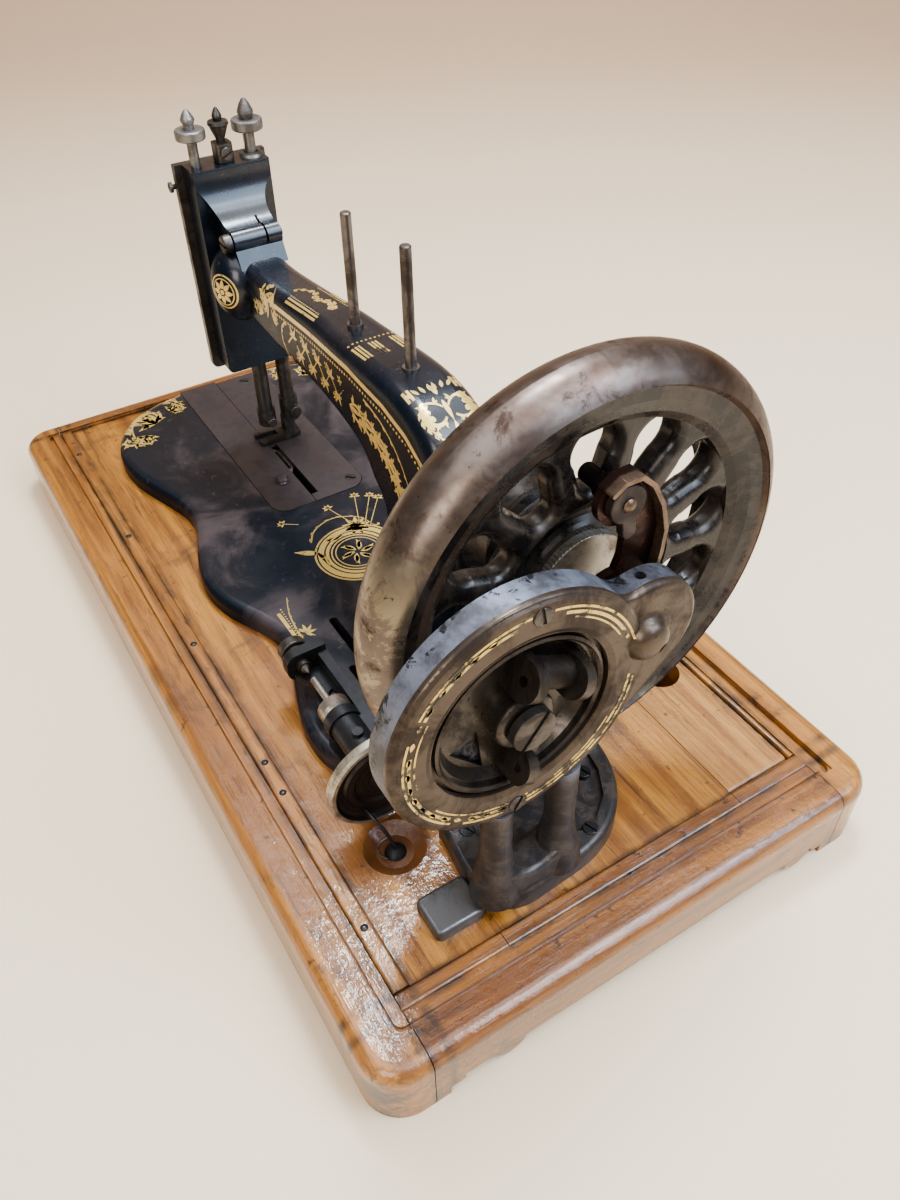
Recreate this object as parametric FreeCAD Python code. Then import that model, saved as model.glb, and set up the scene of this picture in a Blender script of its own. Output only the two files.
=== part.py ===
import FreeCAD, Part
import math
import os

# Hand-crank fiddle-bed sewing machine on a wooden plinth.  Millimetres, +Z up.
# +X runs along the machine towards the balance wheel, -Y is the operator's side,
# and the origin is the centre of the plinth's underside.

V = FreeCAD.Vector

# ---- driving dimensions: wooden plinth ----
BASE_L = 450.0            # plinth length, X
BASE_W = 234.0            # plinth width, Y
RIM_TOP = 32.0            # top of the outer rim
CORNER_R = 16.0           # plan radius of the plinth's corners
RAIL_W = 21.0             # width of the long rails and of the crank-end rail
LEFT_RAIL_W = 12.0        # the far end has a narrow rim only
BOARD_TOP = 29.5
BOARD_T = 9.5
SEAM = 0.15               # half of a visible glue seam
FRONT_STRIP = 7.0         # width of the inner moulding, front and crank end
BACK_STRIP = 3.0
FOOT_ARCH = 8.0           # height of the scalloped edge between the bracket feet

# ---- driving dimensions: machine head ----
YC = 5.0                  # machine centre line
BED_TOP = 40.0
BED_EDGE = 4.5            # radius of the bed's rolled edge
SHAFT_Z = 144.0
SHAFT_R = 6.4
SHAFT_END = 157.0
RUN = 0.05                # radial clearance of every running fit
BAR_X = -126.0            # needle bar and presser bar
BAR_R = 4.0
PRESSER_Y = 19.0
STUD_Y = -9.0
HEAD_TOP = 196.0
HEAD_LOW = 92.0
CAST_X0, CAST_X1 = -132.0, -118.0     # black head casting
HEAD_BACK = 24.5
LIFTER_X, LIFTER_Z = -125.0, 112.0    # pivot of the presser lifter
LIFTER_Y = 27.2                       # inner face of its hub
LIFTER_PIN_R = 2.0
FACE_X0 = -137.2                      # outer side of the steel face plate
FACE_Y0, FACE_Y1 = -17.8, 28.3
PLATE_X0, PLATE_X1 = -205.0, -57.0    # channel that holds the slide plates
PLATE_Y0, PLATE_Y1 = -22.0, 32.0
PLATE_T = 1.8
RACE_X0, RACE_X1 = -150.0, -62.0      # opening of the shuttle race
RACE_Y0, RACE_Y1 = -14.0, 24.0

# ---- driving dimensions: balance wheel and crank gearing ----
WHEEL_X = 154.5
RIM_R = 68.0              # radius of the rim tube's centre line
RIM_TUBE = 13.0
APERTURES = 13
APERTURE_R = 46.0
FIRST_APERTURE = 8.0      # degrees from +Y towards +Z
MODULE = 1.2
GEAR_TEETH = 60
PINION_TEETH = 18
LINE_ANGLE = 10.7         # slope of the line from the gear to the pinion
BACKLASH = 0.3
CENTRES = MODULE * (GEAR_TEETH + PINION_TEETH) / 2
GEAR_Y = YC - CENTRES * math.cos(math.radians(LINE_ANGLE))
GEAR_Z = SHAFT_Z - CENTRES * math.sin(math.radians(LINE_ANGLE))
CASE_X0, CASE_X1 = 179.5, 188.0
COVER_X1 = 191.0
CASE_R = 46.0
GEAR_X0, GEAR_X1 = 182.2, 187.4
DISH_R = 31.0
BOSS_R = 20.6
BOSS_SEAM, BOSS_X1 = 186.8, 189.4
VALLEY_R = 8.0           # hollow between the drum and the boss on the upper side
PINION_ROOM_R = 12.8
COLUMN_X = 185.2
COLUMN_YS = (-46.0, -19.0)
COLUMN_R = 5.6

# ---- driving dimensions: bobbin winder ----
WIND_Y, WIND_Z = -62.5, 57.0
WIND_WHEEL_R = 23.0
WIND_HINGE_Y, WIND_HINGE_Z = -50.5, 45.6


# ---- small helpers ----
def box(x0, x1, y0, y1, z0, z1):
    return Part.makeBox(x1 - x0, y1 - y0, z1 - z0, V(x0, y0, z0))


def cyl_x(x0, x1, y, z, r):
    return Part.makeCylinder(r, x1 - x0, V(x0, y, z), V(1, 0, 0))


def cyl_y(y0, y1, x, z, r):
    return Part.makeCylinder(r, y1 - y0, V(x, y0, z), V(0, 1, 0))


def cyl_z(z0, z1, x, y, r):
    return Part.makeCylinder(r, z1 - z0, V(x, y, z0), V(0, 0, 1))


def union(shapes):
    out = shapes[0]
    for shape in shapes[1:]:
        out = out.fuse(shape)
    return out.removeSplitter()


def minus(shape, tools):
    for tool in tools:
        shape = shape.cut(tool)
    return shape


def rounded(shape, radius, wanted):
    """Fillet the edges that wanted(edge) picks, or leave the shape if that fails."""
    edges = [edge for edge in shape.Edges if wanted(edge)]
    try:
        out = shape.makeFillet(radius, edges)
        if out.isValid() and out.Volume > 0:
            return out
    except Part.OCCError:
        pass
    return shape


def at_z(height):
    return lambda edge: all(abs(v.Z - height) < 0.01 for v in edge.Vertexes)


def at_x(place):
    return lambda edge: all(abs(v.X - place) < 0.01 for v in edge.Vertexes)


def at_y(place):
    return lambda edge: all(abs(v.Y - place) < 0.01 for v in edge.Vertexes)


def upright(edge):
    if len(edge.Vertexes) < 2:
        return False
    a, b = edge.Vertexes[0].Point, edge.Vertexes[-1].Point
    return abs(a.x - b.x) < 0.01 and abs(a.y - b.y) < 0.01


def rounded_block(x0, x1, y0, y1, z0, z1, r):
    """A block with round vertical corners."""
    return rounded(box(x0, x1, y0, y1, z0, z1), r, upright)


def polygon(points):
    return Part.makePolygon(points + [points[0]])


def prism(points, along):
    return Part.Face(polygon(points)).extrude(along)


def closed_spline(points):
    curve = Part.BSplineCurve()
    curve.interpolate(Points=points, PeriodicFlag=True)
    return Part.Wire(curve.toShape())


def revolve_x(profile, y, z):
    """Turn (x, radius) points about an axis parallel to X through y, z."""
    points = [V(x, y, z + r) for x, r in profile]
    return Part.Face(polygon(points)).revolve(V(0, y, z), V(1, 0, 0), 360)


def revolve_z(profile, x, y):
    """Turn (radius, z) points about a vertical axis through x, y."""
    points = [V(x + r, y, z) for r, z in profile]
    return Part.Face(polygon(points)).revolve(V(x, y, 0), V(0, 0, 1), 360)


def dome_z(x, y, z, r, height):
    """A low round cap standing on z."""
    ball = (r * r + height * height) / (2 * height)
    sphere = Part.makeSphere(ball, V(x, y, z + height - ball))
    return sphere.common(cyl_z(z, z + height + 1, x, y, r + 1))


def dome_x(x, y, z, r, height):
    """A low round cap that stands out along +X."""
    ball = (r * r + height * height) / (2 * height)
    sphere = Part.makeSphere(ball, V(x + height - ball, y, z))
    return sphere.common(cyl_x(x, x + height + 1, y, z, r + 1))


def polar(radius, degrees, y=YC, z=SHAFT_Z):
    """The y and z of a point at a radius and an angle about an axis along X."""
    turn = math.radians(degrees)
    return y + radius * math.cos(turn), z + radius * math.sin(turn)


# ---- wooden plinth ----
def rim_blank():
    outer = rounded_block(-BASE_L / 2, BASE_L / 2, -BASE_W / 2, BASE_W / 2, 0, RIM_TOP, CORNER_R)
    outer = rounded(outer, 6.0, at_z(RIM_TOP))
    inner = box(-BASE_L / 2 + LEFT_RAIL_W, BASE_L / 2 - RAIL_W,
                -BASE_W / 2 + RAIL_W, BASE_W / 2 - RAIL_W, -1, RIM_TOP + 1)
    far = -BASE_L / 2 + LEFT_RAIL_W - 1
    wide = rounded_block(far, BASE_L / 2 - 14, -BASE_W / 2 + 14, BASE_W / 2 - 14, RIM_TOP - 3, 40, 4)
    narrow = rounded_block(far - 5, BASE_L / 2 - 16.5, -BASE_W / 2 + 16.5, BASE_W / 2 - 16.5,
                           RIM_TOP - 4, 41, 3)
    bead_cut = box(far, BASE_L / 2 - 14, -BASE_W / 2 + 14, BASE_W / 2 - 14, RIM_TOP - 1, 40)
    return minus(outer, [inner, wide.cut(narrow), bead_cut])


def scallop(x0, x1, bumps):
    """The shape taken from under an end rail, which leaves feet and small bumps."""
    half = BASE_W / 2 - RAIL_W - 6
    cut = box(x0, x1, -half, half, -1, FOOT_ARCH - 3)
    cut = cut.fuse(box(x0, x1, -half + 6, half - 6, -1, FOOT_ARCH))
    for y in bumps:
        cut = cut.cut(cyl_x(x0, x1, y, FOOT_ARCH + 1, 6.5))
    return cut


def rails():
    blank = rim_blank()
    joint = BASE_W / 2 - RAIL_W
    big = BASE_L
    front = blank.common(box(-big, big, -big, -joint - SEAM, -1, 50))
    back = blank.common(box(-big, big, joint + SEAM, big, -1, 50))
    ends = blank.common(box(-big, big, -joint + SEAM, joint - SEAM, -1, 50))
    left = ends.common(box(-big, 0, -big, big, -1, 50))
    right = ends.common(box(0, big, -big, big, -1, 50))
    left = left.cut(scallop(-BASE_L / 2 - 1, -BASE_L / 2 + 30, (-65, 75)))
    right = right.cut(scallop(BASE_L / 2 - 30, BASE_L / 2 + 1, (-65, 75)))
    return {"front_rail": front, "back_rail": back, "left_end_rail": left, "right_end_rail": right}


INNER_X0 = -BASE_L / 2 + LEFT_RAIL_W
INNER_X1 = BASE_L / 2 - RAIL_W
INNER_Y = BASE_W / 2 - RAIL_W
LID_X0, LID_X1 = 118.0, INNER_X1 - FRONT_STRIP - 0.4
LID_Y0, LID_Y1 = 61.0, INNER_Y - BACK_STRIP - 0.4
LID_T = 4.5
LID_GAP = 0.4
LID_PIN_R = 1.2
RECESS = (145.5, -66.0, 12.5)         # x, y and radius of the countersunk recess


def top_board():
    board = box(INNER_X0, INNER_X1, -INNER_Y, INNER_Y, BOARD_TOP - BOARD_T, BOARD_TOP)
    works = rounded_block(-178, 60, -44, 54, 0, 40, 10)
    lid_seat = box(LID_X0 - LID_GAP, LID_X1 + LID_GAP, LID_Y0 - LID_GAP, LID_Y1 + LID_GAP,
                   BOARD_TOP - LID_T - LID_GAP, 40)
    well = box(LID_X0 + 3, LID_X1 - 3, LID_Y0 + 3, LID_Y1 - 3, 0, 40)
    x, y, r = RECESS
    dish = revolve_z([(0, BOARD_TOP - 3.5), (r - 5, BOARD_TOP - 3.5), (r, BOARD_TOP), (r, 40), (0, 40)], x, y)
    hole = cyl_z(BOARD_TOP - 8, 40, x, y, 2.5)
    pin = cyl_y(LID_Y0 - 3, LID_Y1 + 2, LID_X1 - LID_T / 2, BOARD_TOP - LID_T / 2, LID_PIN_R)
    return minus(board, [works, lid_seat, well, dish, hole, pin])


def strip(x0, x1, y0, y1, lengthwise):
    """A length of inner moulding with a rounded top."""
    bar = box(x0, x1, y0, y1, BOARD_TOP, BOARD_TOP + 1.8)
    if lengthwise:
        return rounded(bar, 1.3, lambda e: at_z(BOARD_TOP + 1.8)(e) and (at_y(y0)(e) or at_y(y1)(e)))
    return rounded(bar, 1.3, lambda e: at_z(BOARD_TOP + 1.8)(e) and (at_x(x0)(e) or at_x(x1)(e)))


def mouldings():
    inner = INNER_X1 - FRONT_STRIP
    front = strip(INNER_X0, inner - SEAM, -INNER_Y, -INNER_Y + FRONT_STRIP, True)
    back = strip(INNER_X0, inner - SEAM, INNER_Y - BACK_STRIP, INNER_Y, True)
    cuts = (-INNER_Y, -52.0, 60.0, INNER_Y)
    pieces = []
    for low, high in zip(cuts, cuts[1:]):
        pieces.append(strip(inner, INNER_X1, low + SEAM, high - SEAM, False))
    return {"front_moulding": front, "back_moulding": back, "end_mouldings": Part.makeCompound(pieces)}


def accessory_tray():
    outer = box(LID_X0 - 1, LID_X1 + 1, LID_Y0 - 1, LID_Y1 + 1, 3, BOARD_TOP - BOARD_T)
    return outer.cut(box(LID_X0 + 3, LID_X1 - 3, LID_Y0 + 3, LID_Y1 - 3, 6, 40))


def accessory_lid():
    z0, z1 = BOARD_TOP - LID_T, BOARD_TOP
    pivot_x, pivot_z = LID_X1 - LID_T / 2, BOARD_TOP - LID_T / 2
    lid = box(LID_X0, pivot_x, LID_Y0, LID_Y1, z0, z1)
    lid = lid.fuse(cyl_y(LID_Y0, LID_Y1, pivot_x, pivot_z, LID_T / 2)).removeSplitter()
    finger_hole = cyl_z(0, 50, 130.5, 80.5, 9)
    return minus(lid, [finger_hole, cyl_y(0, 120, pivot_x, pivot_z, LID_PIN_R + RUN)])


def lid_pin():
    return cyl_y(LID_Y0 - 3, LID_Y1 + 2, LID_X1 - LID_T / 2, BOARD_TOP - LID_T / 2, LID_PIN_R)


# ---- bed and its plates ----
BED_FRONT = [(-205, 5), (-202.5, -30), (-188, -60), (-162, -73.5), (-125, -70), (-85, -60),
             (-58, -67), (-35, -73.5), (-8, -70), (22, -58.5), (45, -62), (66, -69), (90, -72),
             (107, -66), (117, -52), (127, -44), (141, -46)]
BED_END = [(147.5, -35), (148, 5), (146.5, 28)]
BED_BACK_END = [(137, 38), (124, 50), (112, 64), (102, 76)]
SLOTS = ((28, 58, -33.0, 2.0), (60, 79, -39.5, 1.7))     # x0, x1, y and half width


def bed_outline():
    front = [V(x, y, BOARD_TOP) for x, y in BED_FRONT]
    right = [V(x, y, BOARD_TOP) for x, y in BED_END + BED_BACK_END]
    mirrored = [(x, 2 * YC - y) for x, y in BED_FRONT[1:13]]
    back = [V(x, y, BOARD_TOP) for x, y in reversed(mirrored)]
    return closed_spline(front + right + back)


def slot(x0, x1, y, half):
    return union([box(x0 + half, x1 - half, y - half, y + half, 0, 60),
                  cyl_z(0, 60, x0 + half, y, half), cyl_z(0, 60, x1 - half, y, half)])


BED_SCREWS = ((-75.0, 58.0), (62.0, 66.0))
BED_SCREW_R = 4.0


def plate_channel(gap, z0, z1):
    """The round-cornered recess of the slide plates, open at the bed's left end."""
    block = box(PLATE_X0 - 10, PLATE_X1 - gap, PLATE_Y0 + gap, PLATE_Y1 - gap, z0, z1)
    return rounded(block, 9.0, lambda e: upright(e) and at_x(PLATE_X1 - gap)(e))


def bed():
    plate = Part.Face(bed_outline()).extrude(V(0, 0, BED_TOP - BOARD_TOP))
    plate = rounded(plate, BED_EDGE, at_z(BED_TOP))
    cuts = [plate_channel(0, BED_TOP - PLATE_T, BED_TOP + 1),
            box(RACE_X0, RACE_X1, RACE_Y0, RACE_Y1, 0, 60),
            rounded_block(-170, 30, -38, 48, 0, 34.5, 8),
            cyl_z(0, 60, 70, YC, 14)]
    cuts += [slot(*place) for place in SLOTS]
    cuts += [cyl_z(BED_TOP - 6, 60, x, y, BED_SCREW_R) for x, y in BED_SCREWS]
    return minus(plate, cuts)


def slotted_screw_z(x, y, z0, z1, r, turn=30.0, slot_w=1.0):
    """A flat-headed screw with its slot, seen from above."""
    head = rounded(cyl_z(z0, z1, x, y, r), 0.4, at_z(z1))
    groove = box(x - r - 1, x + r + 1, y - slot_w / 2, y + slot_w / 2, z1 - 0.8, z1 + 1)
    groove.rotate(V(x, y, 0), V(0, 0, 1), turn)
    return head.cut(groove)


def slotted_screw_x(x0, x1, y, z, r, turn=30.0, slot_w=1.2):
    """A flat-headed screw whose head faces +X."""
    head = rounded(cyl_x(x0, x1, y, z, r), 0.4, at_x(x1))
    groove = box(x1 - 0.9, x1 + 1, y - r - 1, y + r + 1, z - slot_w / 2, z + slot_w / 2)
    groove.rotate(V(0, y, z), V(1, 0, 0), turn)
    return head.cut(groove)


def bed_screws():
    return Part.makeCompound([slotted_screw_z(x, y, BED_TOP - 6, BED_TOP + 0.8, BED_SCREW_R)
                              for x, y in BED_SCREWS])


SPLIT_Y = 1.0              # joint between the slide plate and the needle plate
NEEDLE_SCREWS = ((-66.0, 26.0), (-194.0, 17.0))


def needle_plate():
    z0 = BED_TOP - PLATE_T + 0.02
    area = plate_channel(0.25, z0, BED_TOP + 0.3)
    plate = area.common(box(PLATE_X0 + 4, 0, SPLIT_Y + 0.15, 60, 0, 60))
    race = box(-119, -64, 0, SPLIT_Y + 4.2, 0, 60)
    feed = box(BAR_X - 4.5, BAR_X + 4.5, 9, 21, 0, 60)
    screws = [cyl_z(0, 60, x, y, 3) for x, y in NEEDLE_SCREWS]
    return minus(plate, [race, feed, cyl_z(0, 60, BAR_X, YC, 1.2)] + screws)


def needle_plate_screws():
    z0 = BED_TOP - PLATE_T
    return Part.makeCompound([slotted_screw_z(x, y, z0, BED_TOP + 0.3, 3, 50) for x, y in NEEDLE_SCREWS])


def slide_plate():
    z0 = BED_TOP - PLATE_T + 0.04
    area = plate_channel(0.25, z0, BED_TOP + 0.3)
    plate = area.common(box(PLATE_X0 + 2, 0, -60, SPLIT_Y - 0.15, 0, 60))
    knob = revolve_z([(0, BED_TOP), (3.2, BED_TOP), (2.2, BED_TOP + 1.2), (3.6, BED_TOP + 2.6),
                      (2.8, BED_TOP + 3.8), (0, BED_TOP + 4.2)], -83, -7)
    return plate.fuse(knob).removeSplitter()


def shuttle_race():
    body = box(RACE_X0, RACE_X1, RACE_Y0, 8.5, 24, BED_TOP - PLATE_T)
    return body.cut(box(RACE_X0 + 4, RACE_X1 - 4, -5.5, 6.5, 28, 60))


SHUTTLE_X = -106.0


def shuttle():
    """Boat shuttle with a pointed nose at each end and a bobbin cavity."""
    y, half_l, half_w = 0.5, 17.0, 5.2
    outline = [V(SHUTTLE_X - half_l, y, 29), V(SHUTTLE_X - 9, y - half_w, 29), V(SHUTTLE_X + 9, y - half_w, 29),
               V(SHUTTLE_X + half_l, y, 29), V(SHUTTLE_X + 9, y + half_w, 29), V(SHUTTLE_X - 9, y + half_w, 29)]
    hull = prism(outline, V(0, 0, 8.2))
    return hull.cut(box(SHUTTLE_X - 10, SHUTTLE_X + 10, y - 3.4, y + 3.4, 30.5, 40))


def shuttle_bobbin():
    y, z = 0.5, 34.0
    profile = [(-9.6, 0), (-9.6, 3.0), (-8.6, 3.0), (-8.6, 1.2), (8.6, 1.2), (8.6, 3.0), (9.6, 3.0), (9.6, 0)]
    return revolve_x([(SHUTTLE_X + x, r) for x, r in profile], y, z)


def feed_dog():
    body = box(BAR_X - 3.6, BAR_X + 3.6, 11, 19, 26, BED_TOP + 0.6)
    for k in range(5):
        y = 11.6 + 1.6 * k
        body = body.cut(box(BAR_X - 5, BAR_X + 5, y, y + 0.8, BED_TOP, BED_TOP + 2))
    bar = box(BAR_X - 3.6, 20, 11, 19, 23.5, 27.5)
    return body.fuse(bar).removeSplitter()


# ---- arm, head and what they hold ----
def section(x, z, degrees, depth, width, r):
    """A round-cornered cross-section of the arm; depth lies in the XZ plane, width along Y."""
    turn = math.radians(degrees)
    across = V(-math.sin(turn), 0, math.cos(turn))
    side = V(0, 1, 0)
    centre = V(x, YC, z)
    a, b = depth / 2, width / 2

    def point(u, v):
        return centre + across * u + side * v

    edges = []
    for su, sv in ((1, 1), (-1, 1), (-1, -1), (1, -1)):
        first = point(su * a, sv * (b - r)) if su == sv else point(su * (a - r), sv * b)
        last = point(su * (a - r), sv * b) if su == sv else point(su * a, sv * (b - r))
        bend = r * (1 - math.sqrt(0.5))
        middle = point(su * (a - bend), sv * (b - bend))
        if edges:
            edges.append(Part.makeLine(edges[-1].Vertexes[-1].Point, first))
        edges.append(Part.Arc(first, middle, last).toShape())
    edges.append(Part.makeLine(edges[-1].Vertexes[-1].Point, edges[0].Vertexes[0].Point))
    return Part.Wire(edges)


# x, z, slope, depth, width and corner radius along the arm and down the pedestal
ARM_SECTIONS = [(-121, 144.5, 0, 27, 23, 6), (-88, 144.8, 0, 29, 22.5, 6), (-45, 146, 1, 32.5, 24, 6),
                (0, 147.3, 2, 38, 26.5, 6.5), (32, 145.3, -8, 47, 29, 7), (58, 137.5, -45, 66, 30, 8),
                (71, 117, -75, 60, 31, 8), (72.5, 95, -90, 58, 32, 8), (73, 66, -90, 60, 35, 9),
                (74, 49, -90, 72, 43, 10), (75, BED_TOP, -90, 90, 54, 12)]
BARREL_X, BARREL_Z, BARREL_R = -100.5, 168.0, 5.6
BARREL_Y0, BARREL_Y1 = -7.0, 17.0
PIN_R = 2.4


def ellipsoid(x, y, z, rx, ry, rz):
    ball = Part.makeSphere(1.0)
    grow = FreeCAD.Matrix()
    grow.scale(rx, ry, rz)
    ball = ball.transformGeometry(grow)
    ball.translate(V(x, y, z))
    return ball


def head_block():
    """The black head casting that carries both bars, rounded at its foot."""
    block = box(CAST_X0, CAST_X1, YC - 19, HEAD_BACK, HEAD_LOW, HEAD_TOP)
    block = rounded(block, 3.0, lambda e: at_z(HEAD_LOW)(e) and (at_y(YC - 19)(e) or at_y(HEAD_BACK)(e)))
    return block.fuse(cyl_y(HEAD_BACK - 1, LIFTER_Y - 0.3, LIFTER_X, LIFTER_Z, 5.5))


def bracket_leaf():
    """The leaf that sweeps from the top of the head down to the hinge barrel."""
    half = 19.0                                  # half the width where it meets the head
    low_half = (BARREL_Y1 - BARREL_Y0) / 2
    mid_y = (BARREL_Y0 + BARREL_Y1) / 2
    back, top = CAST_X1 - 2, HEAD_TOP - 1.0
    sweep = Part.Arc(V(back + 3, -40, top), V(back + 6.5, -40, 181), V(BARREL_X + 1, -40, BARREL_Z + 4))
    under = Part.Arc(V(BARREL_X - 3, -40, BARREL_Z - 3), V(back + 4, -40, 176), V(back, -40, 188))
    side = Part.Wire([sweep.toShape(), Part.makeLine(sweep.EndPoint, under.StartPoint), under.toShape(),
                      Part.makeLine(under.EndPoint, V(back, -40, top)),
                      Part.makeLine(V(back, -40, top), sweep.StartPoint)])
    sheet = Part.Face(side).extrude(V(0, 90, 0))
    foot_z, neck_z, shoulder_z = BARREL_Z - 6, 173.5, 188.5
    left = Part.Arc(V(0, YC - half, shoulder_z), V(0, mid_y - low_half - 2.4, 181), V(0, mid_y - low_half, neck_z))
    right = Part.Arc(V(0, mid_y + low_half, neck_z), V(0, mid_y + low_half + 1.6, 182), V(0, YC + half, shoulder_z))
    corners = [right.EndPoint, V(0, YC + half, HEAD_TOP + 1), V(0, YC - half, HEAD_TOP + 1), left.StartPoint]
    edges = [left.toShape(), Part.makeLine(left.EndPoint, V(0, mid_y - low_half, foot_z)),
             Part.makeLine(V(0, mid_y - low_half, foot_z), V(0, mid_y + low_half, foot_z)),
             Part.makeLine(V(0, mid_y + low_half, foot_z), right.StartPoint), right.toShape()]
    edges += [Part.makeLine(first, last) for first, last in zip(corners, corners[1:])]
    outline = Part.Face(Part.Wire(edges))
    outline.translate(V(back - 2, 0, 0))
    return sheet.common(outline.extrude(V(60, 0, 0)))


def lower_leaf():
    side = [V(BARREL_X - 3.5, BARREL_Y0, BARREL_Z), V(BARREL_X + 3.5, BARREL_Y0, BARREL_Z),
            V(BARREL_X + 9, BARREL_Y0, 157), V(BARREL_X - 12, BARREL_Y0, 155)]
    return Part.Face(polygon(side)).extrude(V(0, BARREL_Y1 - BARREL_Y0, 0))


PINS = ((2.0, 166.0, 213.5), (48.0, 168.0, 217.0))       # x, foot and tip of each spool pin
PIN_SPOOL_R = 2.2
PIN_ROOT_R = 1.9          # root of a spool pin, inside the arm
PIN_COLLAR_R = 3.4
BUSHES = ((-117.0, -97.0), (88.0, 114.0))
BUSH_R = 9.5


def arm_casting():
    arm = Part.makeLoft([section(*place) for place in ARM_SECTIONS], True, False, False, 3)
    barrel = cyl_y(BARREL_Y0, BARREL_Y1, BARREL_X, BARREL_Z, BARREL_R)
    bulge = ellipsoid(-105, YC - 10, SHAFT_Z + 2, 16, 13, 18.5)
    bearing = rounded(cyl_x(84, 114, YC, SHAFT_Z, 15), 3.0, at_x(114))
    body = union([arm, head_block(), bracket_leaf(), lower_leaf(), barrel, bulge, bearing])
    cuts = [cyl_x(-120, 120, YC, SHAFT_Z, SHAFT_R + 1.2),
            cyl_y(BARREL_Y0 - 1, BARREL_Y1 + 1, BARREL_X, BARREL_Z, PIN_R + 0.02),
            box(BARREL_X - 7, BARREL_X + 12, 9.0, 10.0, BARREL_Z - 1.5, BARREL_Z + 8),
            cyl_z(HEAD_LOW - 5, HEAD_TOP + 5, BAR_X, YC, BAR_R + RUN),
            cyl_z(HEAD_LOW - 5, HEAD_TOP + 5, BAR_X, PRESSER_Y, BAR_R + RUN),
            cyl_z(HEAD_TOP - 20, HEAD_TOP + 5, BAR_X, STUD_Y, 2.4),
            box(CAST_X0 - 1, BAR_X + 4, YC - 4.5, YC + 4.5, 108, 182),
            cyl_x(BAR_X + 3.5, CAST_X1 + 1.5, YC, SHAFT_Z, 14.0),
            cyl_x(-123, BUSHES[0][1], YC, SHAFT_Z, BUSH_R),
            cyl_x(BUSHES[1][0], 120, YC, SHAFT_Z, BUSH_R),
            cyl_y(HEAD_BACK - 1.2, LIFTER_Y, LIFTER_X, LIFTER_Z, LIFTER_PIN_R)]
    cuts += [cyl_z(foot - 10, foot, x, YC, PIN_ROOT_R) for x, foot, tip in PINS]
    cuts += [cyl_z(foot - 0.7, 230, x, YC, PIN_COLLAR_R) for x, foot, tip in PINS]
    return minus(body, cuts)


def shaft_bushes():
    rings = []
    for x0, x1 in BUSHES:
        rings.append(cyl_x(x0, x1, YC, SHAFT_Z, BUSH_R).cut(cyl_x(x0, x1, YC, SHAFT_Z, SHAFT_R + RUN)))
    return Part.makeCompound(rings)


def spool_pins():
    pins = []
    for x, foot, tip in PINS:
        free = rounded(cyl_z(foot + 1.8, tip, x, YC, PIN_SPOOL_R), 0.8, at_z(tip))
        collar = cyl_z(foot - 0.7, foot + 1.8, x, YC, PIN_COLLAR_R)
        pins.append(union([free, collar, cyl_z(foot - 10, foot, x, YC, PIN_ROOT_R)]))
    return Part.makeCompound(pins)


def bracket_pin():
    shank = cyl_y(BARREL_Y0 - 1, BARREL_Y1 + 1.5, BARREL_X, BARREL_Z, PIN_R)
    head = rounded(cyl_y(BARREL_Y0 - 4.6, BARREL_Y0 - 0.4, BARREL_X, BARREL_Z, 4.2), 0.8,
                   at_y(BARREL_Y0 - 4.6))
    groove = box(BARREL_X - 6, BARREL_X + 6, BARREL_Y0 - 6, BARREL_Y0 - 3.6, BARREL_Z - 0.6, BARREL_Z + 0.6)
    return head.fuse(shank).cut(groove)


FACE_SCREWS = ((-12.0, 186.0), (22.0, 186.0), (5.0, 102.0))


def face_plate():
    """Steel cover on the head's outer end, wider than the casting so its edges show."""
    plate = box(FACE_X0, CAST_X0, FACE_Y0, FACE_Y1, HEAD_LOW - 2, HEAD_TOP)
    plate = rounded(plate, 3.0, lambda e: at_z(HEAD_LOW - 2)(e) and (at_y(FACE_Y0)(e) or at_y(FACE_Y1)(e)))
    plate = rounded(plate, 1.5, at_x(FACE_X0))
    holes = [cyl_x(FACE_X0 - 5, CAST_X0 + 5, y, z, 1.8) for y, z in FACE_SCREWS]
    takeup = [box(FACE_X0 + 3, CAST_X0 + 1, YC - 4.5, YC + 4.5, 108, 182),
              cyl_x(FACE_X0 - 1, FACE_X0 + 4, YC + 12, 150, 2.5)]
    return minus(plate, holes + takeup)


def face_plate_screws():
    screws = []
    for y, z in FACE_SCREWS:
        shank = cyl_x(FACE_X0 - 0.1, CAST_X0, y, z, 1.8)
        head = cyl_x(FACE_X0 - 1.8, FACE_X0, y, z, 3.2)
        groove = box(FACE_X0 - 3, FACE_X0 - 1.0, y - 4, y + 4, z - 0.5, z + 0.5)
        screws.append(head.fuse(shank).cut(groove))
    guide_x = (FACE_X0 + CAST_X0) / 2
    guide = union([cyl_y(FACE_Y0 - 2, FACE_Y0, guide_x, 186, 1.2),
                   cyl_y(FACE_Y0 - 3.2, FACE_Y0 - 1.9, guide_x, 186, 2.4)])
    return Part.makeCompound(screws + [guide])


def main_shaft():
    return cyl_x(-120.5, SHAFT_END, YC, SHAFT_Z, SHAFT_R)


def shaft_crank():
    """Disc and crank pin that drive the needle bar from the end of the shaft."""
    y, z = polar(10.0, 250.0)
    return union([cyl_x(-121.4, -118.2, YC, SHAFT_Z, 13.2).cut(cyl_x(-120.5, -100, YC, SHAFT_Z, SHAFT_R)),
                  cyl_x(-121.7, -121.0, y, z, 2.4)])


def acorn(x, y, z, r, height):
    """A turned acorn tip standing on z."""
    profile = [(0, z), (r * 0.75, z), (r, z + height * 0.3), (r * 0.95, z + height * 0.42),
               (r * 0.6, z + height * 0.75), (r * 0.25, z + height * 0.95), (0, z + height)]
    return revolve_z(profile, x, y)


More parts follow.
